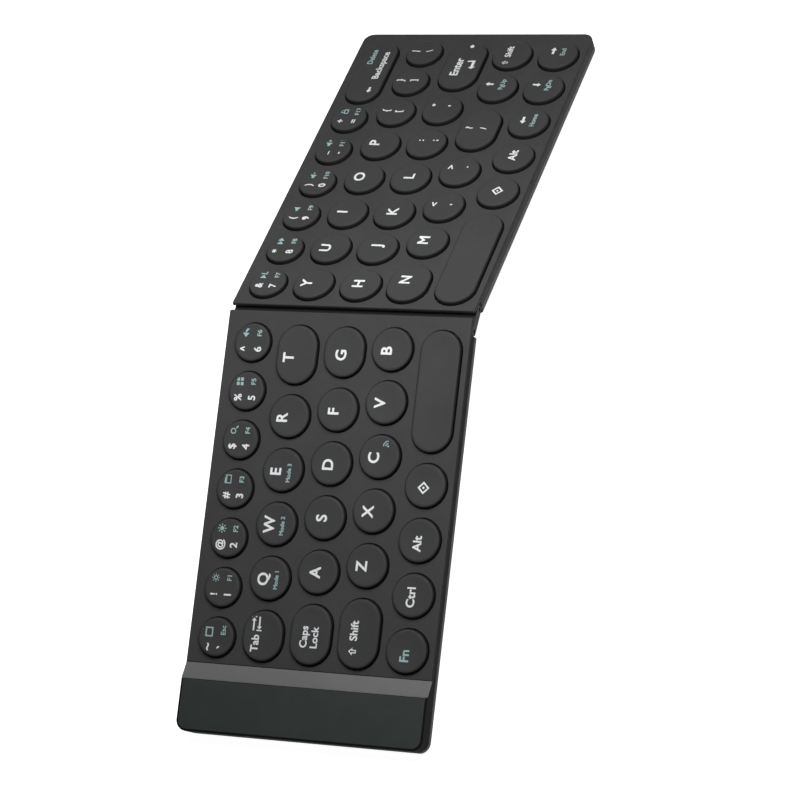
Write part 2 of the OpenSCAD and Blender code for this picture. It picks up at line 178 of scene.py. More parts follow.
def metal(name, base, rough=0.32, brushed=(1.0, 18.0, 1.0), scale=900.0, strength=0.25):
    """Stamped or ground steel: brushing lines along one axis, slight smudges."""
    m, t, b = new_material(name)
    co = t.nodes.new("ShaderNodeTexCoord").outputs["Object"]
    mp = t.nodes.new("ShaderNodeMapping")
    mp.inputs["Scale"].default_value = brushed
    t.links.new(co, mp.inputs["Vector"])
    lines = noise(t, mp.outputs["Vector"], scale, 3.0, 0.6)
    t.links.new(ramp(t, lines, [(0.3, rgb(*[c * 0.85 for c in base])), (0.7, rgb(*[min(1, c * 1.1) for c in base]))]),
                b.inputs["Base Color"])
    t.links.new(span(t, noise(t, co, 160.0, 3.0), rough - 0.07, rough + 0.1), b.inputs["Roughness"])
    t.links.new(bump(t, lines, 0.00001, strength), b.inputs["Normal"])
    b.inputs["Metallic"].default_value = 1.0
    return m


def ink(name, base, rough=0.55):
    """Pad-printed ink: slightly uneven cover and a soft surface."""
    m, t, b = new_material(name)
    co = t.nodes.new("ShaderNodeTexCoord").outputs["Object"]
    n = noise(t, co, 1800.0, 2.0)
    t.links.new(ramp(t, n, [(0.3, rgb(*[c * 0.88 for c in base])), (0.7, rgb(*base))]), b.inputs["Base Color"])
    t.links.new(span(t, noise(t, co, 500.0), rough - 0.06, rough + 0.06), b.inputs["Roughness"])
    t.links.new(bump(t, n, 0.000008, 0.2), b.inputs["Normal"])
    b.inputs["Specular IOR Level"].default_value = 0.35
    return m


def board_material(name):
    """Circuit board: green mask over paler tracks."""
    m, t, b = new_material(name)
    co = t.nodes.new("ShaderNodeTexCoord").outputs["Object"]
    br = t.nodes.new("ShaderNodeTexBrick")
    br.inputs["Scale"].default_value = 240.0
    br.inputs["Mortar Size"].default_value = 0.03
    br.inputs["Color1"].default_value = rgb(0.012, 0.09, 0.04)
    br.inputs["Color2"].default_value = rgb(0.014, 0.105, 0.046)
    br.inputs["Mortar"].default_value = rgb(0.03, 0.19, 0.085)
    t.links.new(co, br.inputs["Vector"])
    t.links.new(br.outputs["Color"], b.inputs["Base Color"])
    t.links.new(span(t, noise(t, co, 300.0), 0.3, 0.42), b.inputs["Roughness"])
    t.links.new(bump(t, br.outputs["Fac"], 0.00002, 0.3), b.inputs["Normal"])
    return m


def foil_material(name):
    """Pouch cell: crinkled aluminium foil."""
    m, t, b = new_material(name)
    co = t.nodes.new("ShaderNodeTexCoord").outputs["Object"]
    n = noise(t, co, 320.0, 4.0, 0.6)
    t.links.new(ramp(t, n, [(0.3, rgb(0.42, 0.44, 0.47)), (0.7, rgb(0.56, 0.58, 0.6))]), b.inputs["Base Color"])
    t.links.new(span(t, n, 0.28, 0.42), b.inputs["Roughness"])
    t.links.new(bump(t, n, 0.00012, 0.5), b.inputs["Normal"])
    b.inputs["Metallic"].default_value = 0.85
    return m


UP_LEFT = (-math.sin(HALF), 0.0, math.cos(HALF))
UP_RIGHT = (math.sin(HALF), 0.0, math.cos(HALF))
DECK = dict(rough=0.72, specular=0.1, grain=2400.0, strength=0.40, wear=0.10)
# caps: side paints shade onto each cap's walls and outer rim, the dark crescent round it
CAPS = dict(rough=0.70, specular=0.1, grain=3000.0, strength=0.30, wear=0.06, side=(0.012, 0.012, 0.0124), steep=(0.62, 0.97))
MAT = {
    # deck plastic; its side colour is painted shade on the hole walls and edges, darker on the left half than on the
    # right
    "deck_left": plastic("left_deck_plastic_painted_shade", (0.047, 0.0472, 0.0484), up=UP_LEFT, side=(0.012, 0.012, 0.0124), **DECK),
    "deck_right": plastic("right_deck_plastic_painted_shade", (0.047, 0.0472, 0.0484), up=UP_RIGHT, side=(0.022, 0.022, 0.0225),
                          **DECK),
    # wall colours are painted shade: near black on the left half, lighter on the right half, as the walls lay in shade
    "left_wall_shade": plastic("left_wall_painted_shade", (0.008, 0.008, 0.0083), rough=0.75, specular=0.03, grain=2400.0,
                         strength=0.35, wear=0.10),
    "right_wall_shade": plastic("right_wall_painted_shade", (0.028, 0.0281, 0.0287), rough=0.75, specular=0.05, grain=2400.0,
                          strength=0.35, wear=0.10),
    "base": plastic("base_plastic", (0.060, 0.0604, 0.0616), rough=0.7, specular=0.06, grain=2200.0,
                    strength=0.40, wear=0.08),
    # the ramp's colour is painted more than twice as light as the deck's, as painted light on the slope
    "ramp": plastic("ramp_painted_light", (0.110, 0.1105, 0.112), rough=0.55, specular=0.35, grain=2400.0,
                    strength=0.30, wear=0.08),
    "panel": plastic("bar_panel_lacquer", (0.031, 0.038, 0.035), rough=0.42, specular=0.35, grain=3200.0,
                     strength=0.12, vary=0.05, wear=0.0, rough_vary=0.04),
    "caps_left": plastic("left_cap_plastic_painted_shade", (0.045, 0.0452, 0.0463), up=UP_LEFT, **CAPS),
    "caps_right": plastic("right_cap_plastic_painted_shade", (0.045, 0.0452, 0.0463), up=UP_RIGHT, **CAPS),
    "spine": plastic("spine_plastic", (0.016, 0.016, 0.017), rough=0.6, specular=0.1, grain=2200.0,
                     strength=0.35, wear=0.12),
    "feet": plastic("foot_rubber", (0.014, 0.014, 0.015), rough=0.85, specular=0.2, grain=1700.0,
                    strength=0.5, vary=0.1),
    "switch": plastic("switch_plastic", (0.03, 0.03, 0.032), rough=0.5, specular=0.4, grain=2200.0,
                      strength=0.3, wear=0.1),
    "silicone": plastic("dome_rubber", (0.55, 0.53, 0.48), rough=0.6, specular=0.3, grain=1500.0,
                        strength=0.2),
    "tongue": plastic("socket_tongue_plastic", (0.012, 0.012, 0.013), rough=0.4, specular=0.4,
                      grain=2600.0, strength=0.15),
    "frame_steel": metal("key_frame_steel", (0.035, 0.035, 0.037), rough=0.45),
    "hinge_steel": metal("hinge_steel", (0.50, 0.51, 0.52), rough=0.3),
    "pin_steel": metal("pin_steel", (0.10, 0.10, 0.105), rough=0.35, brushed=(1, 1, 1), scale=1500.0),
    "socket_steel": metal("socket_steel", (0.62, 0.63, 0.64), rough=0.24, brushed=(1, 12, 1)),
    "gold": metal("contact_gold", (0.83, 0.62, 0.27), rough=0.2, brushed=(1, 10, 1)),
    "board": board_material("board_mask"),
    "cell": foil_material("cell_foil"),
    "white": ink("legend_white", (0.72, 0.73, 0.74)),
    "teal": ink("legend_teal", (0.30, 0.44, 0.45)),
}


# ------------------------------------------------------------------ meshes
class Shape:
    """Closed shells built from loops of points, in panel-local millimetres."""

    def __init__(self):
        self.v, self.f, self.m = [], [], []
        self.mat = 0

    def loop(self, pts, z=None):
        i = len(self.v)
        for p in pts:
            self.v.append((p[0], p[1], p[2] if z is None else z))
        return list(range(i, len(self.v)))

    def bridge(self, a, b):
        n = len(a)
        for k in range(n):
            self.f.append((a[k], a[(k + 1) % n], b[(k + 1) % n], b[k]))
            self.m.append(self.mat)

    def fill(self, loops):
        flat = [i for l in loops for i in l]
        if len(loops) == 1 and len(flat) <= 4:
            self.f.append(tuple(flat))
            self.m.append(self.mat)
            return
        tris = tessellate_polygon([[Vector((self.v[i][0], self.v[i][1], 0)) for i in l] for l in loops])
        for t in tris:
            if len(set(t)) == 3:
                self.f.append(tuple(flat[k] for k in t))
                self.m.append(self.mat)

    def fill_side(self, loop, axes):
        """Fills a loop that lies in a plane seen along another axis."""
        pts = [Vector((self.v[i][axes[0]], self.v[i][axes[1]], 0)) for i in loop]
        for t in tessellate_polygon([pts]):
            self.f.append(tuple(loop[k] for k in t))
            self.m.append(self.mat)

    def stack(self, rings, cap_first=True, cap_last=True):
        """Rings of (points, z) bridged in order and closed at both ends."""
        loops = [self.loop(p, z) for p, z in rings]
        for a, b in zip(loops, loops[1:]):
            self.bridge(a, b)
        if cap_first:
            self.fill([loops[0]])
        if cap_last:
            self.fill([loops[-1]])
        return loops

    def prism(self, pts, z0, z1, c0=0.0, c1=0.0):
        """Prism over an outline with chamfers c0 below and c1 above."""
        rings = []
        if c0 > 0:
            rings += [(inset(pts, c0), z0), (pts, z0 + c0)]
        else:
            rings += [(pts, z0)]
        if c1 > 0:
            rings += [(pts, z1 - c1), (inset(pts, c1), z1)]
        else:
            rings += [(pts, z1)]
        self.stack(rings)

    def make(self, name, matrix, materials, weighted=True, angle=34.0):
        me = bpy.data.meshes.new(name)
        me.from_pydata(self.v, [], self.f)
        for mt in materials:
            me.materials.append(mt)
        me.polygons.foreach_set("material_index", self.m)
        bm = bmesh.new()
        bm.from_mesh(me)
        bmesh.ops.remove_doubles(bm, verts=bm.verts, dist=1e-5)
        bmesh.ops.dissolve_degenerate(bm, dist=1e-6, edges=bm.edges)
        bmesh.ops.recalc_face_normals(bm, faces=bm.faces)
        bm.to_mesh(me)
        bm.free()
        me.transform(matrix)
        me.update()
        me.polygons.foreach_set("use_smooth", [True] * len(me.polygons))
        me.set_sharp_from_angle(angle=math.radians(angle))
        ob = bpy.data.objects.new(name, me)
        scene.collection.objects.link(ob)
        if weighted:
            w = ob.modifiers.new("weighted", "WEIGHTED_NORMAL")
            w.keep_sharp = True
            w.weight = 60
        return ob


def inset(pts, d):
    """Offset of a convex counter-clockwise outline towards its inside."""
    n, out = len(pts), []
    for k in range(n):
        p0, p1, p2 = Vector(pts[k - 1][:2]), Vector(pts[k][:2]), Vector(pts[(k + 1) % n][:2])
        e0, e1 = (p1 - p0), (p2 - p1)
        if e0.length < 1e-9 or e1.length < 1e-9:
            out.append((p1.x, p1.y))
            continue
        e0.normalize()
        e1.normalize()
        n0, n1 = Vector((-e0.y, e0.x)), Vector((-e1.y, e1.x))
        b = n0 + n1
        if b.length < 1e-9:
            b = n0
        b.normalize()
        c = max(0.2, b.dot(n0))
        q = p1 + b * (d / c)
        out.append((q.x, q.y))
    return out


def pill(cx, cy, l, w, d=0.0, n=56, straight=0):
    """Stadium outline along x, inset by d, counter-clockwise."""
    a, r = max(0.0, (l - w) / 2), w / 2 - d
    if a < 1e-6:
        return [(cx + r * math.cos(2 * math.pi * k / n - math.pi / 2),
                 cy + r * math.sin(2 * math.pi * k / n - math.pi / 2)) for k in range(n)]
    pts, h = [], n // 2
    for k in range(h + 1):
        t = -math.pi / 2 + math.pi * k / h
        pts.append((cx + a + r * math.cos(t), cy + r * math.sin(t)))
    for k in range(straight):
        pts.append((cx + a - 2 * a * (k + 1) / (straight + 1), cy + r))
    for k in range(h + 1):
        t = math.pi / 2 + math.pi * k / h
        pts.append((cx - a + r * math.cos(t), cy + r * math.sin(t)))
    for k in range(straight):
        pts.append((cx - a + 2 * a * (k + 1) / (straight + 1), cy - r))
    return pts


def rrect(x0, x1, y0, y1, radii, d=0.0, n=8):
    """Rectangle with its own radius at each corner, inset by d; corners run
    (x1,y0), (x1,y1), (x0,y1), (x0,y0), counter-clockwise."""
    x0, x1, y0, y1 = x0 + d, x1 - d, y0 + d, y1 - d
    pts = []
    for (cx, cy, sx, sy, a0), r in zip(((x1, y0, -1, 1, -90), (x1, y1, -1, -1, 0),
                                         (x0, y1, 1, -1, 90), (x0, y0, 1, 1, 180)), radii):
        r = max(r - d, 0.04)
        for k in range(n + 1):
            t = math.radians(a0 + 90 * k / n)
            pts.append((cx + sx * r + r * math.cos(t), cy + sy * r + r * math.sin(t)))
    return pts


def rrect2(x0, x1, y0, y1, radii, dx, dy, n=8):
    """Like rrect, with its own inset along x and along y."""
    x0, x1, y0, y1 = x0 + dx, x1 - dx, y0 + dy, y1 - dy
    pts = []
    for (cx, cy, sx, sy, a0), r in zip(((x1, y0, -1, 1, -90), (x1, y1, -1, -1, 0),
                                         (x0, y1, 1, -1, 90), (x0, y0, 1, 1, 180)), radii):
        rx, ry = max(r - dx, 0.04), max(r - dy, 0.04)
        for k in range(n + 1):
            t = math.radians(a0 + 90 * k / n)
            pts.append((cx + sx * rx + rx * math.cos(t), cy + sy * ry + ry * math.sin(t)))
    return pts


def belly(h):
    """Insets (end, sides) of the base's rounded lower edge, h above the underside."""
    def arc(width, height):
        u = 1 - min(1.0, h / height)
        return width * (1 - math.sqrt(max(0.0, 1 - u * u)))
    return arc(1.5, 0.55), arc(2.6, 1.9)


def fillet(r, n=5, z=0.0):
    """(inset, z) pairs from the top plane round to the side wall."""
    return [(r - r * math.sin(math.pi / 2 * k / n), z - r + r * math.cos(math.pi / 2 * k / n)) for k in range(n + 1)]


def box(sh, x0, x1, y0, y1, z0, z1, c=0.0):
    x0, x1 = min(x0, x1), max(x0, x1)
    y0, y1 = min(y0, y1), max(y0, y1)
    pts = [(x1, y0), (x1, y1), (x0, y1), (x0, y0)]
    sh.prism(pts, z0, z1, c, c)


# ------------------------------------------------------------------ key table
# (name of the body and node, side, centre x, centre y, length, width)
CAP_D, NUM_D = 14.7, 13.3
CAP_TOP = 1.45
Y_NUM, Y_Q, Y_A, Y_Z, Y_SP = 33.8, 16.95, -0.25, -17.35, -34.75
KEYS = {}


def key(body, x, y, l=CAP_D, w=None, tag=None):
    KEYS.setdefault(body, []).append((x, y, l, w if w is not None else min(l, CAP_D), tag))


def span_key(body, x0, x1, y, w=CAP_D, tag=None):
    key(body, (x0 + x1) / 2, y, x1 - x0, w, tag)


for k, tag in enumerate("6 5 4 3 2 1 Esc".split()):
    key("keys_left_numbers", -11.25 - 16.58 * k, Y_NUM, NUM_D, NUM_D, tag)
for k, tag in enumerate("qwer"):
    key("key_" + tag, -90.05 + 18.1 * k, Y_Q, tag=tag.upper())
for k, tag in enumerate("asdf"):
    key("key_" + tag, -86.95 + 18.05 * k, Y_A, tag=tag.upper())
for k, tag in enumerate("zxcv"):
    key("key_" + tag, -83.8 + 18.05 * k, Y_Z, tag=tag.upper())
span_key("key_t", -25.0, -4.8, Y_Q, tag="T")
span_key("key_g", -22.0, -4.8, Y_A, tag="G")
key("key_b", -11.85, Y_Z, tag="B")
span_key("key_tab", -117.7, -100.7, Y_Q, tag="Tab")
span_key("key_caps_lock", -117.7, -97.6, Y_A, tag="Caps")
span_key("key_left_shift", -117.7, -94.5, Y_Z, tag="Shift")
span_key("key_left_space", -45.6, -4.8, Y_SP, CAP_D - 0.3)
for k, tag in enumerate(["Fn", "Ctrl", "Alt", "Cmd"]):
    key("keys_left_modifiers", -110.55 + 18.05 * k, Y_SP, tag=tag)
LEFT_BODIES = list(KEYS)

for k, tag in enumerate("7 8 9 0 - =".split()):
    key("keys_right_numbers", 9.35 + 16.95 * k, Y_NUM, NUM_D, NUM_D, tag)
for k, tag in enumerate("yuiop"):
    key("key_" + tag, 9.6 + 17.7 * k, Y_Q, CAP_D - 0.2, CAP_D - 0.2, tag.upper())
for k, tag in enumerate("hjkl"):
    key("key_" + tag, 9.8 + 17.9 * k, Y_A, tag=tag.upper())
span_key("key_n", 2.4, 20.35, Y_Z, tag="N")
key("key_m", 31.5, Y_Z, tag="M")
for x, y, l, tag in [(97.9, Y_Q, 14.2, "["), (114.35, Y_Q, 13.7, "]"), (130.45, Y_Q, 13.5, "\\"),
                     (81.4, Y_A, CAP_D, ";"), (99.3, Y_A, CAP_D, "'"),
                     (49.35, Y_Z, CAP_D, ","), (67.2, Y_Z, CAP_D, ".")]:
    key("keys_symbols", x, y, l, l, tag)
span_key("keys_symbols", 78.35, 99.65, Y_Z, tag="/")
span_key("key_backspace", 103.1, 136.1, Y_NUM, NUM_D, "Back")
span_key("key_enter", 110.25, 136.25, Y_A, tag="Enter")
key("key_right_shift", 129.1, Y_Z, tag="RShift")
span_key("key_right_space", 2.4, 46.05, Y_SP, CAP_D - 0.3)
key("keys_arrows_modifiers", 111.3, Y_Z, tag="Up")
for k, tag in enumerate(["RCmd", "RAlt", "Left", "Down", "Right"]):
    key("keys_arrows_modifiers", 56.9 + 18 * k, Y_SP, tag=tag)
RIGHT_BODIES = [b for b in KEYS if b not in LEFT_BODIES]


def stems(l):
    return [-(l / 2 - 9.4), l / 2 - 9.4] if l > 24 else [0.0]


# ------------------------------------------------------------------ caps
RIM_W, RIM_H = 1.15, 0.85      # soft rounded rim of a cap
DISH = 0.34


def dish(u):
    return CAP_TOP - DISH * (1 - u * u)


def dish_at(key_, x, y):
    """Height of a cap's top at a point."""
    cx, cy, l, w, _ = key_
    a, r = max(0.0, (l - w) / 2), w / 2
    px = max(-a, min(a, x - cx))
    q = math.hypot(x - cx - px, y - cy)
    if q <= r - RIM_W:
        return dish(q / (r - RIM_W))
    t = min(1.0, (q - r + RIM_W) / RIM_W)
    return CAP_TOP - RIM_H + RIM_H * math.sqrt(max(0.0, 1 - t * t))


def add_cap(sh, key_):
    cx, cy, l, w, _ = key_
    r = w / 2
    n, st = 60, (0 if l - w < 1 else max(2, int((l - w) / 2.5)))
    o = lambda d: pill(cx, cy, l, w, d, n, st)
    rings = [(o(1.2), -0.4), (o(0.1), -0.4), (o(0.0), -0.3), (o(0.0), CAP_TOP - RIM_H)]
    for k in range(1, 9):
        a = math.pi / 2 * k / 8
        rings.append((o(RIM_W * (1 - math.cos(a))), CAP_TOP - RIM_H + RIM_H * math.sin(a)))
    inner = r - RIM_W
    for k in range(1, 8):
        u = 1 - k / 8.0
        rings.append((o(r - inner * u), dish(u)))
    loops = [sh.loop(p, z) for p, z in rings]
    for a, b in zip(loops, loops[1:]):
        sh.bridge(a, b)
    sh.fill([loops[-1]])
    roof = sh.loop(o(1.2), 0.35)
    sh.bridge(loops[0], roof)
    sh.fill([roof])
    for dx in stems(l):
        c = lambda q: pill(cx + dx, cy, 2 * q, 2 * q, 0, 24)
        sh.stack([(c(1.34), -3.05), (c(1.52), -2.87), (c(1.52), 0.7)])


# ------------------------------------------------------------------ legends
_glyphs = {}


def glyph(text):
    """Flat faces of a text in the built-in font, with the cap height of H as 1."""
    if text in _glyphs:
        return _glyphs[text]
    cu = bpy.data.curves.new("glyph", "FONT")
    cu.body = text
    cu.align_x = "LEFT"
    cu.size = 1.0
    cu.resolution_u = 4
    ob = bpy.data.objects.new("glyph", cu)
    scene.collection.objects.link(ob)
    dg = bpy.context.evaluated_depsgraph_get()
    me = bpy.data.meshes.new_from_object(ob.evaluated_get(dg))
    v = [(p.co.x, p.co.y) for p in me.vertices]
    f = [tuple(p.vertices) for p in me.polygons]
    bpy.data.objects.remove(ob)
    bpy.data.meshes.remove(me)
    bpy.data.curves.remove(cu)
    _glyphs[text] = (v, f)
    return _glyphs[text]


H_REF = max(p[1] for p in glyph("H")[0])


def signed_area(pts):
    return sum(pts[k][0] * pts[(k + 1) % len(pts)][1] - pts[(k + 1) % len(pts)][0] * pts[k][1]
               for k in range(len(pts))) / 2


def islands(v, f):
    """Splits faces into groups that share vertices at the same place."""
    at, parent = {}, {}

    def find(a):
        while parent[a] != a:
            parent[a] = parent[parent[a]]
            a = parent[a]
        return a

    ids = []
    for p in v:
        k = (round(p[0], 5), round(p[1], 5))
        ids.append(at.setdefault(k, len(at)))
    parent.update({i: i for i in range(len(at))})
    for p in f:
        for i in p[1:]:
            parent[find(ids[i])] = find(ids[p[0]])
    groups = {}
    for p in f:
        groups.setdefault(find(ids[p[0]]), []).append(p)
    return list(groups.values())


def border(v, f):
    """Border loops of flat faces, the region on the left of each loop."""
    used = set()
    for p in f:
        for k in range(len(p)):
            used.add((p[k], p[(k + 1) % len(p)]))
    after = {}
    for a, b in used:
        if (b, a) not in used:
            after.setdefault(a, []).append(b)
    for a in after:
        after[a].sort()
    loops = []
    for start in sorted(after):
        while after.get(start):
            loop, at = [start], after[start].pop(0)
            while at != start and after.get(at):
                loop.append(at)
                at = after[at].pop(0)
            if len(loop) > 2:
                loops.append(loop)
    return loops


def tidy(pts, tol):
    """Drops points that lie on the line between their neighbours."""
    out = list(pts)
    k = 0
    while k < len(out) and len(out) > 4:
        a, b, c = Vector(out[k - 1]), Vector(out[k]), Vector(out[(k + 1) % len(out)])
        d = c - a
        off = abs((b - a).x * d.y - (b - a).y * d.x) / d.length if d.length > 1e-9 else 0.0
        if off < tol:
            out.pop(k)
        else:
            k += 1
    return out


def grow(v, f, r, n=8):
    """Grows flat faces by r with round corners and returns them as clean faces."""
    out_v, out_f = [], []
    for group in islands(v, f):
        tri = []
        for p in group:
            a = signed_area([v[i] for i in p])
            if abs(a) > 1e-9:
                tri.append(list(p) if a > 0 else list(reversed(p)))
        pts, at, faces = [], {}, []
        for p in tri:
            q = []
            for i in p:
                k = (round(v[i][0], 5), round(v[i][1], 5))
                if k not in at:
                    at[k] = len(pts)
                    pts.append(Vector(k))
                q.append(at[k])
            if len(set(q)) == len(q):
                faces.append(q)
        for loop in border(pts, faces):
            m = len(loop)
            for k in range(m):
                a, b = pts[loop[k]], pts[loop[(k + 1) % m]]
                d = b - a
                if d.length < 1e-6:
                    continue
                o = Vector((d.y, -d.x)).normalized() * r
                base = len(pts)
                pts += [a + o * -0.02, a + o, b + o, b + o * -0.02]
                faces.append([base, base + 1, base + 2, base + 3])
                base = len(pts)
                pts += [a + Vector((math.cos(2 * math.pi * (j + 0.5) / n), math.sin(2 * math.pi * (j + 0.5) / n))) * r
                        for j in range(n)]
                faces.append(list(range(base, base + n)))
        cv, _, cf, _, _, src = delaunay_2d_cdt(pts, [], faces, 1, 1e-5)
        cf = [list(p) for p, o in zip(cf, src) if o]
        cf = [p if signed_area([cv[i] for i in p]) > 0 else p[::-1] for p in cf]
        outer, holes = [], []
        for loop in border(cv, cf):
            q = tidy([(cv[i].x, cv[i].y) for i in loop], 0.004)
            a = signed_area(q)
            if a > 0.002:
                outer.append((a, q))
            elif a < -0.002:
                holes.append(q)
        outer.sort(key=lambda e: e[0])
        polys = [(q, []) for _, q in outer]
        for h in holes:
            for q, hs in polys:
                if inside(h[0], q):
                    hs.append(h)
                    break
        pv, pf = flat_polygons(polys)
        base = len(out_v)
        out_v += pv
        out_f += [tuple(base + i for i in p) for p in pf]
    return out_v, out_f


def inside(p, poly):
    x, y, c = p[0], p[1], False
    for k in range(len(poly)):
        (x0, y0), (x1, y1) = poly[k - 1], poly[k]
        if (y0 > y) != (y1 > y) and x < (x1 - x0) * (y - y0) / (y1 - y0) + x0:
            c = not c
    return c


_texts = {}


def flat_text(text, height):
    """Vertices and faces of a bold text centred on its own box, in millimetres."""
    if (text, height) in _texts:
        return _texts[(text, height)]
    v, f = glyph(text)
    r = BOLD * height
    s = (height - 2 * r) / H_REF
    x0, x1 = min(p[0] for p in v), max(p[0] for p in v)
    v = [((p[0] - (x0 + x1) / 2) * s * 1.02, p[1] * s - (height - 2 * r) / 2) for p in v]
    _texts[(text, height)] = grow(v, f, r)
    return _texts[(text, height)]


def flat_polygons(polys):
    """Vertices and faces of polygons given as (outer, [holes])."""
    v, f = [], []
    for outer, holes in polys:
        loops = [outer] + list(holes)
        base = len(v)
        for l in loops:
            v += [tuple(p[:2]) for p in l]
        for t in tessellate_polygon([[Vector((p[0], p[1], 0)) for p in l] for l in loops]):
            if len(set(t)) == 3:
                f.append(tuple(base + k for k in t))
    return v, f


def ring_poly(cx, cy, r, w, n=28):
    o = [(cx + r * math.cos(2 * math.pi * k / n), cy + r * math.sin(2 * math.pi * k / n)) for k in range(n)]
    i = [(cx + (r - w) * math.cos(2 * math.pi * k / n), cy + (r - w) * math.sin(2 * math.pi * k / n)) for k in range(n)]
    return (o, [i])


def disc_poly(cx, cy, r, n=20):
    return ([(cx + r * math.cos(2 * math.pi * k / n), cy + r * math.sin(2 * math.pi * k / n)) for k in range(n)], [])


def rect_poly(x0, x1, y0, y1):
    return ([(x0, y0), (x1, y0), (x1, y1), (x0, y1)], [])


def frame_poly(x0, x1, y0, y1, w):
    return ([(x0, y0), (x1, y0), (x1, y1), (x0, y1)],
            [[(x0 + w, y0 + w), (x1 - w, y0 + w), (x1 - w, y1 - w), (x0 + w, y1 - w)]])


def turned(polys, a, cx=0.0, cy=0.0):
    c, s = math.cos(math.radians(a)), math.sin(math.radians(a))
    t = lambda p: (cx + (p[0] - cx) * c - (p[1] - cy) * s, cy + (p[0] - cx) * s + (p[1] - cy) * c)
    return [([t(p) for p in o], [[t(p) for p in h] for h in hs]) for o, hs in polys]


def sized(polys, k):
    return [([(p[0] * k, p[1] * k) for p in o], [[(p[0] * k, p[1] * k) for p in h] for h in hs]) for o, hs in polys]


def arrow_poly(l, head=0.42, w=0.13):
    """Arrow to the left, of length 1 before scaling."""
    h = head * 0.8
    return [([(-0.5, 0), (-0.5 + head, -h), (-0.5 + head, -w), (0.5, -w), (0.5, w), (-0.5 + head, w),
              (-0.5 + head, h)], [])] if l is None else sized(arrow_poly(None, head, w), l)


def tri(x, s=1.0):
    return ([(x - 0.25 * s, -0.42 * s), (x + 0.35 * s, 0), (x - 0.25 * s, 0.42 * s)], [])


ICON = {
    # open square, as a home mark
    "home": [frame_poly(-0.5, 0.5, -0.42, 0.42, 0.14)],
    "sun_low": [ring_poly(0, 0, 0.26, 0.11)] + [q for a in range(0, 360, 45)
                for q in turned([rect_poly(-0.055, 0.055, 0.34, 0.46)], a)],
    "sun_high": [disc_poly(0, 0, 0.24)] + [q for a in range(0, 360, 45)
                 for q in turned([rect_poly(-0.06, 0.06, 0.33, 0.52)], a)],
    "search": [ring_poly(-0.1, 0.1, 0.34, 0.12)] + turned([rect_poly(0.33, 0.68, -0.08, 0.08)], -45, 0, 0),
    "grid": [rect_poly(-0.45, -0.07, 0.07, 0.42), rect_poly(0.07, 0.45, 0.07, 0.42),
             rect_poly(-0.45, -0.07, -0.42, -0.07), rect_poly(0.07, 0.45, -0.42, -0.07)],
    "window": [frame_poly(-0.5, 0.5, -0.4, 0.24, 0.1), rect_poly(-0.5, 0.5, 0.28, 0.42)],
    "back": [([(-0.5, 0), (0.0, -0.4), (0.0, 0.4)], []), ([(0.03, 0), (0.5, -0.4), (0.5, 0.4)], [])],
    "play": [([(-0.5, -0.4), (0.02, 0), (-0.5, 0.4)], []), rect_poly(0.1, 0.24, -0.4, 0.4),
             rect_poly(0.36, 0.5, -0.4, 0.4)],
    "next": [([(-0.5, -0.4), (0.0, 0), (-0.5, 0.4)], []), ([(0.03, -0.4), (0.5, 0), (0.03, 0.4)], [])],
    "speaker": [([(-0.5, -0.16), (-0.26, -0.16), (0.05, -0.42), (0.05, 0.42), (-0.26, 0.16), (-0.5, 0.16)], [])],
    "speaker_low": [([(-0.5, -0.16), (-0.26, -0.16), (0.05, -0.42), (0.05, 0.42), (-0.26, 0.16), (-0.5, 0.16)], []),
                    rect_poly(0.18, 0.52, -0.065, 0.065)],
    "speaker_high": [([(-0.5, -0.16), (-0.26, -0.16), (0.05, -0.42), (0.05, 0.42), (-0.26, 0.16), (-0.5, 0.16)], []),
                     ([(0.18, -0.065), (0.29, -0.065), (0.29, -0.2), (0.41, -0.2), (0.41, -0.065), (0.52, -0.065),
                       (0.52, 0.065), (0.41, 0.065), (0.41, 0.2), (0.29, 0.2), (0.29, 0.065), (0.18, 0.065)], [])],
    "lock": [frame_poly(-0.36, 0.36, -0.45, 0.12, 0.13),
             ([(-0.26, 0.14), (-0.14, 0.14), (-0.14, 0.36), (0.14, 0.36), (0.14, 0.14), (0.26, 0.14),
               (0.26, 0.48), (-0.26, 0.48)], [])],
    "waves": [disc_poly(-0.36, -0.36, 0.13)] + [
        ([(-0.36 + r * math.cos(math.radians(a)), -0.36 + r * math.sin(math.radians(a))) for a in range(0, 91, 10)]
         + [(-0.36 + (r - 0.13) * math.cos(math.radians(a)), -0.36 + (r - 0.13) * math.sin(math.radians(a)))
            for a in range(90, -1, -10)], []) for r in (0.42, 0.74)],
    # open square turned on its corner, as a menu mark
    "menu": turned([frame_poly(-0.38, 0.38, -0.38, 0.38, 0.14)], 45) + [disc_poly(0, 0, 0.1)],
    "tab": [([(-0.5, 0.16), (0.2, 0.16), (0.2, 0.04), (0.42, 0.22), (0.2, 0.4), (0.2, 0.28), (-0.5, 0.28)], []),
            rect_poly(0.44, 0.53, 0.02, 0.42),
            ([(0.5, -0.28), (-0.2, -0.28), (-0.2, -0.4), (-0.42, -0.22), (-0.2, -0.04), (-0.2, -0.16), (0.5, -0.16)],
             []), rect_poly(-0.53, -0.44, -0.42, -0.02)],
    "shift": [([(0, 0.5), (0.5, 0.0), (0.22, 0.0), (0.22, -0.5), (-0.22, -0.5), (-0.22, 0.0), (-0.5, 0.0)],
               [[(0, 0.31), (-0.24, 0.11), (-0.1, 0.11), (-0.1, -0.38), (0.1, -0.38), (0.1, 0.11), (0.24, 0.11)]])],
    "return": [([(-0.5, -0.12), (-0.26, -0.44), (-0.26, -0.24), (0.5, -0.24), (0.5, 0.42), (0.36, 0.42),
                 (0.36, -0.0), (-0.26, -0.0), (-0.26, 0.2)], [])],
    "dot": [disc_poly(0, 0, 0.5)],
    "arrow_left": arrow_poly(None),
    "arrow_right": turned(arrow_poly(None), 180),
    "arrow_up": turned(arrow_poly(None), -90),
    "arrow_down": turned(arrow_poly(None), 90),
}

W, T = 0, 1   # white ink, teal ink


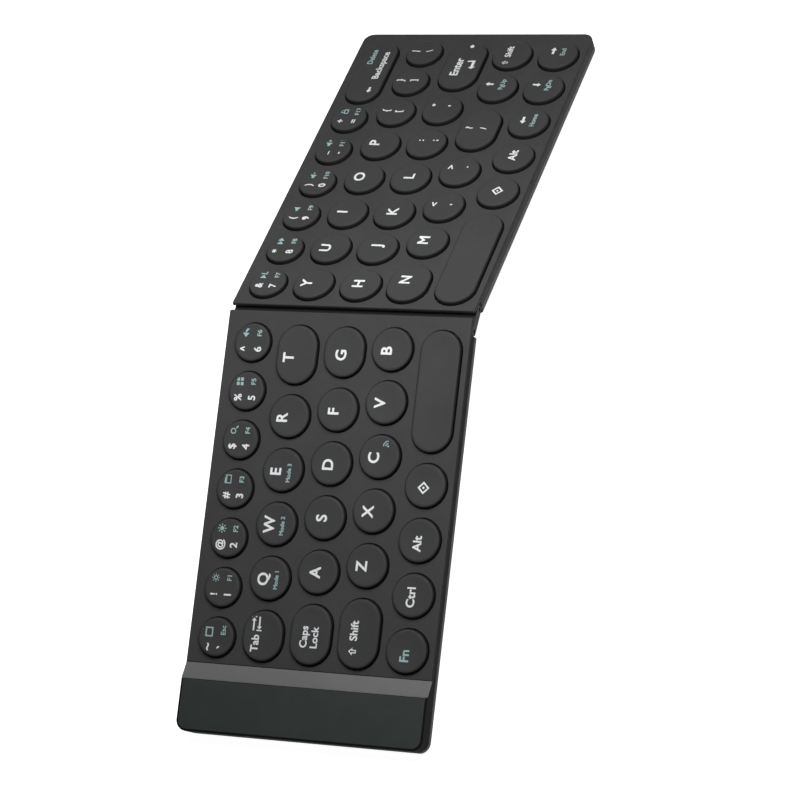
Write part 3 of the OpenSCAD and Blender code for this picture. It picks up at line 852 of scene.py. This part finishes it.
def number_marks(side, low, high, fkey, icon):
    dx, dy = (-2.4, 3.15) if side == "L" else (-1.5, 3.6)
    return [("t", low, dx, -2.3, 2.75, W), ("t", high, dx, 2.8, 2.6, W),
            ("t", fkey, dy, -2.45, 1.75, T), ("i", icon, dy - 0.1, 2.55, 2.9, T)]


MARKS = {
    "Esc": [("t", "`", -3.4, -2.2, 3.2, W), ("t", "~", -3.4, 2.9, 3.0, W), ("t", "Esc", 2.4, -2.5, 1.8, T),
            ("i", "home", 1.6, 2.6, 3.2, T)],
    "1": number_marks("L", "1", "!", "F1", "sun_low"),
    "2": number_marks("L", "2", "@", "F2", "sun_high"),
    "3": number_marks("L", "3", "#", "F3", "window"),
    "4": number_marks("L", "4", "$", "F4", "search"),
    "5": number_marks("L", "5", "%", "F5", "grid"),
    "6": number_marks("L", "6", "^", "F6", "back"),
    "7": number_marks("R", "7", "&", "F7", "play"),
    "8": number_marks("R", "8", "*", "F8", "next"),
    "9": number_marks("R", "9", "(", "F9", "speaker"),
    "0": number_marks("R", "0", ")", "F10", "speaker_low"),
    "-": number_marks("R", "-", "_", "F11", "speaker_high"),
    "=": number_marks("R", "=", "+", "F12", "lock"),
    "Q": [("t", "Q", -0.4, 2.3, 3.9, W), ("t", "Mode 1", -0.6, -2.5, 1.5, T)],
    "W": [("t", "W", -0.3, 2.4, 3.9, W), ("t", "Mode 2", -0.6, -2.3, 1.5, T)],
    "E": [("t", "E", -0.6, 2.4, 3.9, W), ("t", "Mode 3", -1.0, -2.4, 1.5, T)],
    "R": [("t", "R", -0.5, 2.5, 3.9, W)],
    "T": [("t", "T", -1.1, 2.8, 3.9, W)],
    "A": [("t", "A", -0.2, 1.0, 3.9, W)], "S": [("t", "S", -0.2, 1.0, 3.9, W)],
    "D": [("t", "D", -0.4, 1.0, 3.9, W)],
    "F": [("t", "F", -0.6, 1.3, 3.9, W), ("r", None, -0.3, -3.6, 3.2, None)],
    "G": [("t", "G", -1.1, 1.0, 3.9, W)],
    "Z": [("t", "Z", -0.3, 1.8, 3.9, W)], "X": [("t", "X", -0.3, 1.8, 3.9, W)],
    "C": [("t", "C", -0.5, 2.0, 3.9, W), ("i", "waves", 4.4, -1.9, 2.5, T)],
    "V": [("t", "V", -0.3, 2.0, 3.9, W)], "B": [("t", "B", -0.5, 1.8, 3.9, W)],
    "Tab": [("t", "Tab", -2.6, 2.5, 2.7, W), ("i", "tab", 3.9, 2.5, 4.6, W)],
    "Caps": [("t", "Caps", -0.8, 2.3, 2.6, W), ("t", "Lock", -0.8, -1.5, 2.6, W)],
    "Shift": [("i", "shift", -5.9, 1.6, 2.6, W), ("t", "Shift", 0.9, 1.7, 2.7, W)],
    "Fn": [("t", "Fn", -1.6, 0.5, 3.2, T)],
    "Ctrl": [("t", "Ctrl", -0.6, 0.6, 3.0, W)],
    "Alt": [("t", "Alt", -1.1, 0.5, 3.0, W)],
    "Cmd": [("i", "menu", -0.8, 0.5, 3.9, W)],
    "Y": [("t", "Y", 0.1, 2.4, 3.9, W)], "U": [("t", "U", -0.1, 1.8, 3.9, W)],
    "I": [("t", "I", 0.4, 2.0, 3.9, W)], "O": [("t", "O", 0.8, 1.9, 3.9, W)],
    "P": [("t", "P", 1.0, 2.2, 3.9, W)],
    "[": [("t", "[", 0.4, -0.9, 2.5, W), ("t", "{", 0.6, 3.8, 2.5, W)],
    "]": [("t", "]", 0.7, -1.0, 2.5, W), ("t", "}", 0.7, 3.9, 2.5, W)],
    "\\": [("t", "\\", 0.9, -1.8, 2.4, W), ("t", "|", 0.7, 3.6, 2.4, W)],
    "H": [("t", "H", 0.4, 0.8, 3.9, W)],
    "J": [("t", "J", 1.0, 0.6, 3.9, W), ("r", None, 0.8, -3.8, 3.2, None)],
    "K": [("t", "K", 0.6, 0.6, 3.9, W)], "L": [("t", "L", 0.7, 0.5, 3.9, W)],
    ";": [("t", ";", 1.5, -2.6, 2.6, W), ("t", ":", 1.5, 2.6, 2.6, W)],
    "'": [("t", "'", 2.0, -3.2, 2.6, W), ("t", '"', 2.3, 2.8, 2.6, W)],
    ",": [("t", ",", 0.8, -1.4, 2.6, W), ("t", "<", 0.7, 3.6, 2.6, W)],
    ".": [("t", ".", 2.1, -1.4, 2.6, W), ("t", ">", 1.9, 3.6, 2.6, W)],
    "/": [("t", "/", 0.6, -1.6, 2.5, W), ("t", "?", 0.8, 3.6, 2.6, W)],
    "N": [("t", "N", 1.4, 1.6, 3.9, W)], "M": [("t", "M", 0.7, 1.5, 3.9, W)],
    "Back": [("i", "arrow_left", -9.9, -2.4, 3.0, W), ("t", "Backspace", 3.6, -2.4, 2.6, W),
             ("t", "Delete", 8.3, 2.4, 2.1, T)],
    "Enter": [("t", "Enter", -0.6, 1.9, 3.1, W), ("i", "return", 0.4, -3.2, 4.6, W), ("i", "dot", 10.4, -0.5, 1.5, W)],
    "Up": [("i", "arrow_up", 1.8, 3.4, 2.9, W), ("t", "PgUp", 1.7, -1.3, 1.8, T)],
    "RShift": [("i", "shift", -4.3, 1.4, 2.3, W), ("t", "Shift", 1.8, 1.5, 2.3, W)],
    "RCmd": [("i", "menu", 0.7, 0.3, 3.9, W)],
    "RAlt": [("t", "Alt", 0.8, 0.3, 3.0, W)],
    "Left": [("i", "arrow_left", 1.1, 2.2, 3.4, W), ("t", "Home", 1.1, -1.6, 1.8, T)],
    "Down": [("i", "arrow_down", 2.0, 2.9, 2.9, W), ("t", "PgDn", 1.8, -1.3, 1.8, T)],
    "Right": [("i", "arrow_right", 2.5, 2.2, 3.4, W), ("t", "End", 1.9, -1.5, 1.8, T)],
}
INK_UP, INK_DOWN = 0.016, 0.06
BOLD = 0.036


def add_marks(v_out, f_out, m_out, key_):
    """Thin printed solids that follow the cap's dished top."""
    cx, cy, l, w, tag = key_
    for kind, what, dx, dy, size, colour in MARKS.get(tag, []):
        if kind == "r":
            continue
        if kind == "t":
            v, f = flat_text(what, size)
        else:
            v, f = flat_polygons(sized(ICON[what], size))
        n = len(v)
        base = len(v_out)
        up = [(cx + dx + p[0], cy + dy + p[1]) for p in v]
        v_out += [(x, y, dish_at(key_, x, y) + INK_UP) for x, y in up]
        v_out += [(x, y, dish_at(key_, x, y) - INK_DOWN) for x, y in up]
        used, tops = {}, []
        for p in f:
            area = sum(v[p[k]][0] * v[p[(k + 1) % len(p)]][1] - v[p[(k + 1) % len(p)]][0] * v[p[k]][1]
                       for k in range(len(p)))
            if abs(area) < 1e-9:
                continue
            tops.append(tuple(p) if area > 0 else tuple(reversed(p)))
        for p in tops:
            f_out.append(tuple(base + i for i in p))
            m_out.append(colour)
            f_out.append(tuple(base + n + i for i in reversed(p)))
            m_out.append(colour)
            for k in range(len(p)):
                e = (p[k], p[(k + 1) % len(p)])
                used[e] = used.get(e, 0) + 1
        for a, b in used:
            if (b, a) not in used:
                f_out.append((base + a, base + n + a, base + n + b, base + b))
                m_out.append(colour)


def legend(body, keys_, matrix):
    v, f, m = [], [], []
    for k in keys_:
        add_marks(v, f, m, k)
    if not f:
        return None
    me = bpy.data.meshes.new("legend_" + body)
    me.from_pydata(v, [], f)
    me.materials.append(MAT["white"])
    me.materials.append(MAT["teal"])
    me.polygons.foreach_set("material_index", m)
    bm = bmesh.new()
    bm.from_mesh(me)
    loose = [x for x in bm.verts if not x.link_faces]
    bmesh.ops.delete(bm, geom=loose, context="VERTS")
    bmesh.ops.recalc_face_normals(bm, faces=bm.faces)
    bm.to_mesh(me)
    bm.free()
    me.transform(matrix)
    me.update()
    ob = bpy.data.objects.new("legend_" + body.replace("keys_", "").replace("key_", ""), me)
    scene.collection.objects.link(ob)
    return ob


for body, keys_ in KEYS.items():
    matrix = LEFT if body in LEFT_BODIES else RIGHT
    sh = Shape()
    for k in keys_:
        add_cap(sh, k)
        for mark in MARKS.get(k[4], []):
            if mark[0] == "r":      # raised bar under the finger
                z = dish_at(k, k[0] + mark[2], k[1] + mark[3])
                sh.stack([(pill(k[0] + mark[2], k[1] + mark[3], mark[4], 0.7, 0, 24), z - 0.1),
                          (pill(k[0] + mark[2], k[1] + mark[3], mark[4], 0.7, 0.05, 24), z + 0.08),
                          (pill(k[0] + mark[2], k[1] + mark[3], mark[4], 0.7, 0.18, 24), z + 0.14)])
    ob = sh.make("cap_" + body.replace("keys_", "").replace("key_", ""), matrix,
                 [MAT["caps_left" if matrix is LEFT else "caps_right"]])
    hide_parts(body)
    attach(ob, body)
    leg = legend(body, keys_, matrix)
    if leg:
        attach(leg, body)


# ------------------------------------------------------------------ top covers
def deck(x0, x1, radii, keys_, posts, edge=0.5, hole_edge=0.14):
    """Deck plate with rounded edges and a rounded hole for each cap."""
    sh = Shape()
    o = lambda d: rrect(x0, x1, -SY, SY, radii, d)
    rim = fillet(edge, 6)
    outer = [sh.loop(o(d), z) for d, z in rim] + [sh.loop(o(0.0), -1.1)]
    for a, b in zip(outer, outer[1:]):
        sh.bridge(a, b)
    tops, lows = [outer[0]], [outer[-1]]
    for cx, cy, l, w, _ in keys_:
        n = 56
        g = [sh.loop(pill(cx, cy, l + 2 * GAP_SHOWN + 2 * d, w + 2 * GAP_SHOWN + 2 * d, 0, n), z)
             for d, z in fillet(hole_edge, 4)] + [
            sh.loop(pill(cx, cy, l + 2 * GAP_SHOWN, w + 2 * GAP_SHOWN, 0, n), -1.1)]
        for a, b in zip(g, g[1:]):
            sh.bridge(a, b)
        tops.append(g[0])
        lows.append(g[-1])
    sh.fill(tops)
    sh.fill(lows)
    # posts that reach down to the floor, between the caps
    for px, py in posts:
        c = lambda r: pill(px, py, 2 * r, 2 * r, 0, 24)
        sh.stack([(c(0.72), Z_UNDER + 0.15), (c(0.9), Z_UNDER + 0.33), (c(0.9), Z_FLOOR), (c(1.6), Z_FLOOR),
                  (c(1.6), -2.2), (c(2.2), -2.2), (c(2.2), -0.9)])
    return sh


GAP_SHOWN = 0.3
LEFT_POSTS = [(-83.5, 26.3), (-19.5, 28.3), (-93.0, -24.5), (-20.75, -22.6)]
RIGHT_POSTS = [(35.5, 26.6), (103.5, 26.0), (40.4, -22.6), (120.1, -26.1)]
BAR_POSTS = [(-121.9, -39.5), (-121.9, 22.5)]

left_keys = [k for b in LEFT_BODIES for k in KEYS[b]]
right_keys = [k for b in RIGHT_BODIES for k in KEYS[b]]

sh = deck(-RAMP_X, -0.1, (0.7, 0.7, 0.06, 0.06), left_keys, LEFT_POSTS, 0.4)
# the deck's side walls take the left wall colour, which is painted shade
sh.mat = 1
for s in (-1, 1):
    box(sh, -RAMP_X, -5.9, s * (SY - 1.2), s * SY, Z_PART + 0.06, -0.9, 0.0)
left_top = sh.make("left_deck", LEFT, [MAT["deck_left"], MAT["left_wall_shade"]])
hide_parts("left_top_cover")
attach(left_top, "left_half")


def u_wall(sh, s, rings, r=3.8, x_in=5.9, n=10):
    """Side walls round three sides of a half, open at the seam, from rings of
    (height, inset at the end, inset at the sides)."""
    x1 = HALF_LEN

    def outline(dx, dy):
        # outer path from the seam side round the outer end, then back inside
        pts = []
        rx, ry, xo, yo = r - dx, r - dy, x1 - dx, SY - dy
        pts.append((x_in, -yo))
        for k in range(n + 1):
            t = math.radians(-90 + 90 * k / n)
            pts.append((xo - rx + rx * math.cos(t), -yo + ry + ry * math.sin(t)))
        for k in range(n + 1):
            t = math.radians(90 * k / n)
            pts.append((xo - rx + rx * math.cos(t), yo - ry + ry * math.sin(t)))
        pts.append((x_in, yo))
        ri, xi, yi = r - 1.2, x1 - 1.2, SY - 1.2
        pts.append((x_in, yi))
        for k in range(n + 1):
            t = math.radians(90 - 90 * k / n)
            pts.append((xi - ri + ri * math.cos(t), yi - ri + ri * math.sin(t)))
        for k in range(n + 1):
            t = math.radians(0 - 90 * k / n)
            pts.append((xi - ri + ri * math.cos(t), -yi + ri + ri * math.sin(t)))
        pts.append((x_in, -yi))
        return [(s * p[0], p[1]) for p in pts]

    sh.stack([(outline(dx, dy), z) for z, dx, dy in rings])


sh = deck(0.1, HALF_LEN, (3.8, 3.8, 0.7, 0.7), right_keys, RIGHT_POSTS, 0.55)
# the walls take the right wall colour, painted shade lighter than the left half's
sh.mat = 1
u_wall(sh, 1, [(Z_PART + 0.06, 0.1, 0.1), (Z_PART + 0.16, 0, 0), (-0.9, 0, 0)])
right_top = sh.make("right_deck", RIGHT, [MAT["deck_right"], MAT["right_wall_shade"]])
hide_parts("right_top_cover")
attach(right_top, "right_half")


# ------------------------------------------------------------------ bottom covers
def base(s, posts, matrix, name, node, body):
    sh = Shape()
    x0, x1 = (5.9, HALF_LEN) if s > 0 else (-HALF_LEN, -5.9)
    radii = (3.8, 3.8, 0.06, 0.06) if s > 0 else (0.06, 0.06, 3.8, 3.8)
    # underside with round holes for the pegs and pockets for the feet
    steps = (0.0, 0.03, 0.09, 0.18, 0.3, 0.42, 0.64, Z_FLOOR - Z_UNDER)
    low = [sh.loop(rrect2(x0, x1, -SY, SY, radii, *belly(h)), Z_UNDER + h) for h in steps]
    for a, b in zip(low, low[1:]):
        sh.bridge(a, b)
    under, upper = [low[0]], [low[-1]]
    for px, py in posts:
        a = [sh.loop(pill(px, py, 2 * q, 2 * q, 0, 24), z) for q, z in ((1.05, Z_UNDER), (0.95, Z_UNDER + 0.1),
                                                                      (0.95, Z_FLOOR))]
        sh.bridge(a[0], a[1])
        sh.bridge(a[1], a[2])
        under.append(a[0])
        upper.append(a[2])
    for fy in (-36.5, 36.5):
        a = [sh.loop(pill(s * 22, fy, 14.2, 5.2, 0, 32), z) for z in (Z_UNDER, Z_UNDER + 0.4)]
        sh.bridge(a[0], a[1])
        sh.fill([a[1]])
        under.append(a[0])
    sh.fill(under)
    sh.fill(upper)
    u_wall(sh, s, [(Z_UNDER + h, *belly(h)) for h in (0.85, 1.1, 1.35, 1.6, 1.9)]
           + [(Z_PART - 0.16, 0, 0), (Z_PART - 0.06, 0.1, 0.1)])
    box(sh, s * 5.9, s * 6.9, -SY + 0.5, SY - 0.5, Z_FLOOR - 0.05, -5.0)
    # baffle along the seam, cut away where the hinge leaves pass
    for y0, y1 in ((-42.9, -30.5), (-20.2, 20.2), (30.5, 42.9)):
        box(sh, s * 5.92, s * 6.6, y0, y1, -5.05, -2.0)
    for y0, y1 in ((-30.55, -20.15), (20.15, 30.55)):
        box(sh, s * 5.92, s * 6.6, y0, y1, -3.4, -2.0)
    box(sh, s * 5.5, s * 6.6, -42.9, 42.9, -2.1, -1.85)
    for y in (-41.6, -9, 8, 41.6):
        box(sh, s * 9, s * 117, y - 0.5, y + 0.5, Z_FLOOR - 0.05, -5.1)
    ob = sh.make(name, matrix, [MAT["base"]])
    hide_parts(node)
    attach(ob, body)
    # rubber pads near the seam, and strips that carry the folded stand
    sh = Shape()
    for fy in (-36.5, 36.5):
        p = lambda d: pill(s * 22, fy, 14, 5, d, 32)
        sh.stack([(p(0.4), Z_UNDER - 0.5), (p(0.18), Z_UNDER - 0.46), (p(0.06), Z_UNDER - 0.36),
                  (p(0.0), Z_UNDER - 0.2), (p(0.0), Z_UNDER + 0.38)])
    k = math.tan(HALF)
    section = [(0.3, -0.3 * k), (0.5 / k - 0.12, -0.5 + 0.12 * k), (0.5 / k, -0.495), (0.5 / k + 0.12, -0.5),
               (3.2, -0.5), (3.34, -0.44), (3.4, -0.3), (3.4, 0.39), (0.75, 0.39), (0.42, 0.34), (0.3, 0.22)]
    for y in (-30, 30):
        ends = []
        for dy, shrink in ((-8, 0.12), (-7.88, 0.0), (7.88, 0.0), (8, 0.12)):
            cu = sum(q[0] for q in section) / len(section)
            cw = sum(q[1] for q in section) / len(section)
            ends.append(sh.loop([(s * (HALF_LEN - q[0] - (cu - q[0]) * shrink), y + dy,
                                  Z_UNDER + q[1] + (cw - q[1]) * shrink) for q in section]))
        for a, b in zip(ends, ends[1:]):
            sh.bridge(a, b)
        sh.fill_side(ends[0], (0, 2))
        sh.fill_side(ends[-1], (0, 2))
    ob = sh.make(name.replace("base", "pads"), matrix, [MAT["feet"]])
    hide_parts(node.replace("bottom_cover", "feet"))
    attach(ob, body)


base(-1, LEFT_POSTS + BAR_POSTS, LEFT, "left_base", "left_bottom_cover", "left_half")
base(1, RIGHT_POSTS, RIGHT, "right_base", "right_bottom_cover", "right_half")


# ------------------------------------------------------------------ raised bar
def bar():
    """Ramp and bar with a shallow pocket for the panel, as one skin with
    rounded upper edges, and walls down to the parting line."""
    sh = Shape()
    x0, x1, r = -RAMP_X, -HALF_LEN, 3.8
    xt = x0 - RAMP_LEN
    n = 10
    R = 0.5

    def height(x):
        if x >= xt:
            return BAR_H * (x0 - x) / RAMP_LEN
        return BAR_H

    def path(d):
        """Open path from the ramp's foot at -y round the end to +y."""
        ro, xo, yo = r - d, x1 + d, SY - d
        pts = [(x0, -yo), (xt + 0.35, -yo), (xt, -yo), (xt - 0.35, -yo)]
        for k in range(n + 1):
            t = math.radians(270 - 90 * k / n)
            pts.append((xo + ro + ro * math.cos(t), -yo + ro + ro * math.sin(t)))
        for k in range(n + 1):
            t = math.radians(180 - 90 * k / n)
            pts.append((xo + ro + ro * math.cos(t), yo - ro + ro * math.sin(t)))
        pts += [(xt - 0.35, yo), (xt, yo), (xt + 0.35, yo), (x0, yo)]
        return pts

    def soft(x):
        """Height with the crease at the ramp's top slightly rounded."""
        h = height(x)
        e = abs(x - xt)
        return h - (0.05 * (1 - e / 0.35) if e < 0.35 else 0.0)

    def put(pts, dz):
        return sh.loop([(p[0], p[1], soft(p[0]) + dz) for p in pts])

    rows = []
    for k in range(7):
        a = math.pi / 2 * k / 6
        rows.append(put(path(R - R * math.sin(a)), -R + R * math.cos(a)))
    wall_low = sh.loop([(p[0], p[1], Z_PART + 0.16) for p in path(0)])
    lip = sh.loop([(p[0], p[1], Z_PART + 0.06) for p in path(0.1)])
    rows += [wall_low, lip]
    # walls and the bar's rounded edges take the left wall colour, painted shade; the ramp's edges keep the ramp colour
    for a, b in zip(rows, rows[1:]):
        for k in range(len(a) - 1):
            sh.f.append((a[k], a[k + 1], b[k + 1], b[k]))
            bar_part = 0.5 * (path(0)[k][0] + path(0)[k + 1][0]) < xt
            sh.m.append(1 if rows.index(b) > 6 or bar_part else 0)
    # top faces: ramp, crease strips and the bar's top down into the pocket
    t = rows[0]
    m = len(t)
    for k in range(3):
        sh.f.append((t[k], t[k + 1], t[m - 2 - k], t[m - 1 - k]))
        sh.m.append(0)
    crest = [t[3 + j] for j in range(m - 6)]
    # pocket outline
    px0, px1 = -(RAMP_X + RAMP_LEN + 0.35) + 0.05, -HALF_LEN + 0.65
    pk = lambda d: rrect(px1, px0, -SY + 0.65, SY - 0.65, (0.3, 0.3, 3.1, 3.1), d, 8)
    p0 = sh.loop(pk(-0.08), BAR_H)
    p1 = sh.loop(pk(0.0), BAR_H - 0.08)
    p2 = sh.loop(pk(0.0), BAR_H - 0.6)
    # the bar's top round the pocket also takes the left wall colour, painted shade
    sh.mat = 1
    sh.fill([crest, p0])
    sh.bridge(p0, p1)
    sh.bridge(p1, p2)
    sh.mat = 2
    sh.fill([p2])
    sh.mat = 0
    # inside skin closes the shell
    inner = sh.loop([(p[0], p[1], Z_PART + 0.06) for p in path(1.2)])
    for k in range(len(inner) - 1):
        sh.f.append((rows[-1][k], rows[-1][k + 1], inner[k + 1], inner[k]))
        sh.m.append(1)
    roof = sh.loop([(min(p[0], x0), p[1], max(-1.1, soft(p[0]) - 1.1)) for p in path(1.2)])
    for k in range(len(inner) - 1):
        sh.f.append((inner[k], inner[k + 1], roof[k + 1], roof[k]))
        sh.m.append(2)
    for k in range(3):
        sh.f.append((roof[k], roof[k + 1], roof[m - 2 - k], roof[m - 1 - k]))
        sh.m.append(2)
    sh.mat = 2
    sh.fill([[roof[3 + j] for j in range(m - 6)]])
    sh.mat = 0
    # close the open front under the ramp's foot: two end strips and the lip of the roof
    front_low = [rows[j][0] for j in range(len(rows))] + [inner[0], roof[0]]
    front_high = [rows[j][-1] for j in range(len(rows))] + [inner[-1], roof[-1]]
    for loop in (front_low, front_high):
        sh.f.append(tuple(loop))
        sh.m.append(1)
    sh.f.append((t[0], t[m - 1], roof[m - 1], roof[0]))
    sh.m.append(2)
    return sh


SOCKET_X, SOCKET_Z, SWITCH_X = -133.5, -1.7, -126.3


def cut_openings(ob):
    """Cuts the charging socket's mouth and the switch slot into the back wall."""
    def upright(outline, y0, y1):
        sh = Shape()
        a = sh.loop([(x, y0, z) for x, z in outline])
        b = sh.loop([(x, y1, z) for x, z in outline])
        sh.bridge(a, b)
        sh.fill_side(a, (0, 2))
        sh.fill_side(b, (0, 2))
        return sh
    rect = lambda x0, x1, h: [(x0, SOCKET_Z - h), (x1, SOCKET_Z - h), (x1, SOCKET_Z + h), (x0, SOCKET_Z + h)]
    tools = [upright(pill(SOCKET_X, SOCKET_Z, 9.2, 3.4, 0, 40), SY - 1.5, SY + 1.0),
             upright(rect(SWITCH_X - 1.9, SWITCH_X + 3.9, 1.2), SY - 0.6, SY + 1.0),
             upright(rect(SWITCH_X - 1.4, SWITCH_X + 3.4, 0.75), SY - 3.0, SY - 0.3)]
    for k, tool in enumerate(tools):
        cutter = tool.make("cutter_%d" % k, LEFT, [MAT["spine"]], weighted=False)
        mod = ob.modifiers.new("cut", "BOOLEAN")
        mod.operation = "DIFFERENCE"
        mod.solver = "EXACT"
        mod.object = cutter
        bpy.context.view_layer.update()
        dg = bpy.context.evaluated_depsgraph_get()
        me = bpy.data.meshes.new_from_object(ob.evaluated_get(dg))
        ob.modifiers.clear()
        old, ob.data = ob.data, me
        bpy.data.meshes.remove(old)
        bpy.data.objects.remove(cutter)
    me.set_sharp_from_angle(angle=math.radians(34.0))
    w = ob.modifiers.new("weighted", "WEIGHTED_NORMAL")
    w.keep_sharp = True
    w.weight = 60


def bar_pegs():
    sh = Shape()
    for px, py in BAR_POSTS:
        c = lambda q: pill(px, py, 2 * q, 2 * q, 0, 24)
        sh.stack([(c(0.72), Z_UNDER + 0.15), (c(0.9), Z_UNDER + 0.33), (c(0.9), Z_FLOOR), (c(1.5), Z_FLOOR),
                  (c(1.5), -0.2)])
    return sh


def tongue():
    """Dark tongue inside the charging socket, with a row of contacts on each face."""
    sh = Shape()
    box(sh, SOCKET_X - 3.35, SOCKET_X + 3.35, SY - 6.0, SY - 1.5, SOCKET_Z - 0.38, SOCKET_Z + 0.38, 0.05)
    sh.mat = 1
    for k in range(8):
        x = SOCKET_X - 2.45 + 0.7 * k
        box(sh, x - 0.14, x + 0.14, SY - 5.0, SY - 1.62, SOCKET_Z - 0.42, SOCKET_Z + 0.42, 0.0)
    return sh


def panel():
    px0, px1 = -(RAMP_X + RAMP_LEN + 0.35), -HALF_LEN + 0.7
    sh = Shape()
    o = lambda d: rrect(px1, px0, -SY + 0.7, SY - 0.7, (0.25, 0.25, 3.05, 3.05), d, 8)
    rim = fillet(0.14, 4, BAR_H)
    sh.stack([(o(d), z) for d, z in rim] + [(o(0), BAR_H - 0.6)])
    return sh


bar_ob = bar().make("bar_shell", LEFT, [MAT["ramp"], MAT["left_wall_shade"], MAT["spine"]], weighted=False)
cut_openings(bar_ob)
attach(bar_ob, "left_half")
pegs_ob = bar_pegs().make("bar_pegs", LEFT, [MAT["spine"]])
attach(pegs_ob, "left_half")
tongue_ob = tongue().make("socket_tongue", LEFT, [MAT["tongue"], MAT["gold"]])
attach(tongue_ob, "left_half")
panel_ob = panel().make("bar_panel", LEFT, [MAT["panel"]])
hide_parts("bar_top_panel")
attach(panel_ob, "left_half")
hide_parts("bar_housing")


# ------------------------------------------------------------------ CAD nodes that stay
STAY = {
    "left_key_frame": "frame_steel", "right_key_frame": "frame_steel",
    "left_dome_sheet": "silicone", "right_dome_sheet": "silicone",
    "left_circuit_board": "board", "right_circuit_board": "board",
    "battery_cell": "cell", "charge_socket": "socket_steel", "power_switch": "switch",
    "left_hinge_leaves": "hinge_steel", "right_hinge_leaves": "hinge_steel",
    "hinge_spine": "spine", "hinge_pins": "pin_steel",
}
for node, mat in STAY.items():
    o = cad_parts[node]
    o.data.materials.clear()
    o.data.materials.append(MAT[mat])


# ------------------------------------------------------------------ camera
# Fitted to the picture: rotation rows are the camera's right, down and forward
# directions in the left half's own axes.
CAM_R = Matrix(((0.11371053, -0.91458496, -0.38807765),
                (-0.98114077, -0.04191835, -0.18869457),
                (0.15630964, 0.40221537, -0.90210315)))
CAM_T = Vector((-31.10026675, -28.93512245, 1102.72353414)) * 1.02857
centre = -(CAM_R.transposed() @ CAM_T)
local = Vector((centre.x + 0.25, centre.y + 16.665, centre.z))
world_pos = LEFT @ local
right, down, ahead = (Vector(CAM_R[k]) for k in range(3))
turn = Matrix.Rotation(-HALF, 3, "Y")
axes = [turn @ right, turn @ (-down), turn @ (-ahead)]
rot = Matrix((axes[0], axes[1], axes[2])).transposed()
cam_data = bpy.data.cameras.new("camera")
cam = bpy.data.objects.new("camera", cam_data)
scene.collection.objects.link(cam)
cam.matrix_world = Matrix.Translation(world_pos) @ rot.to_4x4()
cam_data.sensor_fit = "HORIZONTAL"
cam_data.sensor_width = 36.0
cam_data.lens = 3401.5 / 800 * 36.0
cam_data.clip_start, cam_data.clip_end = 0.05, 20.0
scene.camera = cam

# ------------------------------------------------------------------ studio
floor_mesh = bpy.data.meshes.new("studio_floor")
S = 4.0
floor_mesh.from_pydata([(-S, -S, 0), (S, -S, 0), (S, S, 0), (-S, S, 0)], [], [(0, 1, 2, 3)])
floor = bpy.data.objects.new("studio_floor", floor_mesh)
floor.location = (0, 0, 0.0)
scene.collection.objects.link(floor)
m, t, b = new_material("studio_floor")
co = t.nodes.new("ShaderNodeTexCoord").outputs["Object"]
t.links.new(ramp(t, noise(t, co, 3.0, 2.0), [(0.3, rgb(0.79, 0.79, 0.79)), (0.7, rgb(0.81, 0.81, 0.81))]),
            b.inputs["Base Color"])
b.inputs["Roughness"].default_value = 0.9
b.inputs["Specular IOR Level"].default_value = 0.1
b.inputs["Emission Color"].default_value = (1.0, 1.0, 1.0, 1.0)
b.inputs["Emission Strength"].default_value = 0.95
floor_mesh.materials.append(m)

world = bpy.data.worlds.new("studio")
scene.world = world
world.use_nodes = True
bg = world.node_tree.nodes["Background"]
bg.inputs["Color"].default_value = (1.0, 1.0, 1.0, 1.0)
bg.inputs["Strength"].default_value = 0.05


def area(name, at, to, size, power, colour=(1, 1, 1)):
    d = bpy.data.lights.new(name, "AREA")
    d.shape = "DISK"
    d.size = size
    d.energy = power
    d.color = colour
    o = bpy.data.objects.new(name, d)
    o.location = at
    o.rotation_mode = "QUATERNION"
    o.rotation_quaternion = (Vector(to) - Vector(at)).to_track_quat("-Z", "Y")
    scene.collection.objects.link(o)
    return o


area("soft_light", (0.02, -0.05, 0.30), (0, 0, 0.03), 0.3, 0.95)
area("side_light", (0.08, -0.10, 0.30), (0, 0, 0.03), 0.3, 0.33)

scene.view_settings.view_transform = "Standard"
scene.view_settings.look = "None"
scene.view_settings.exposure = 0.0
scene.view_settings.gamma = 1.0
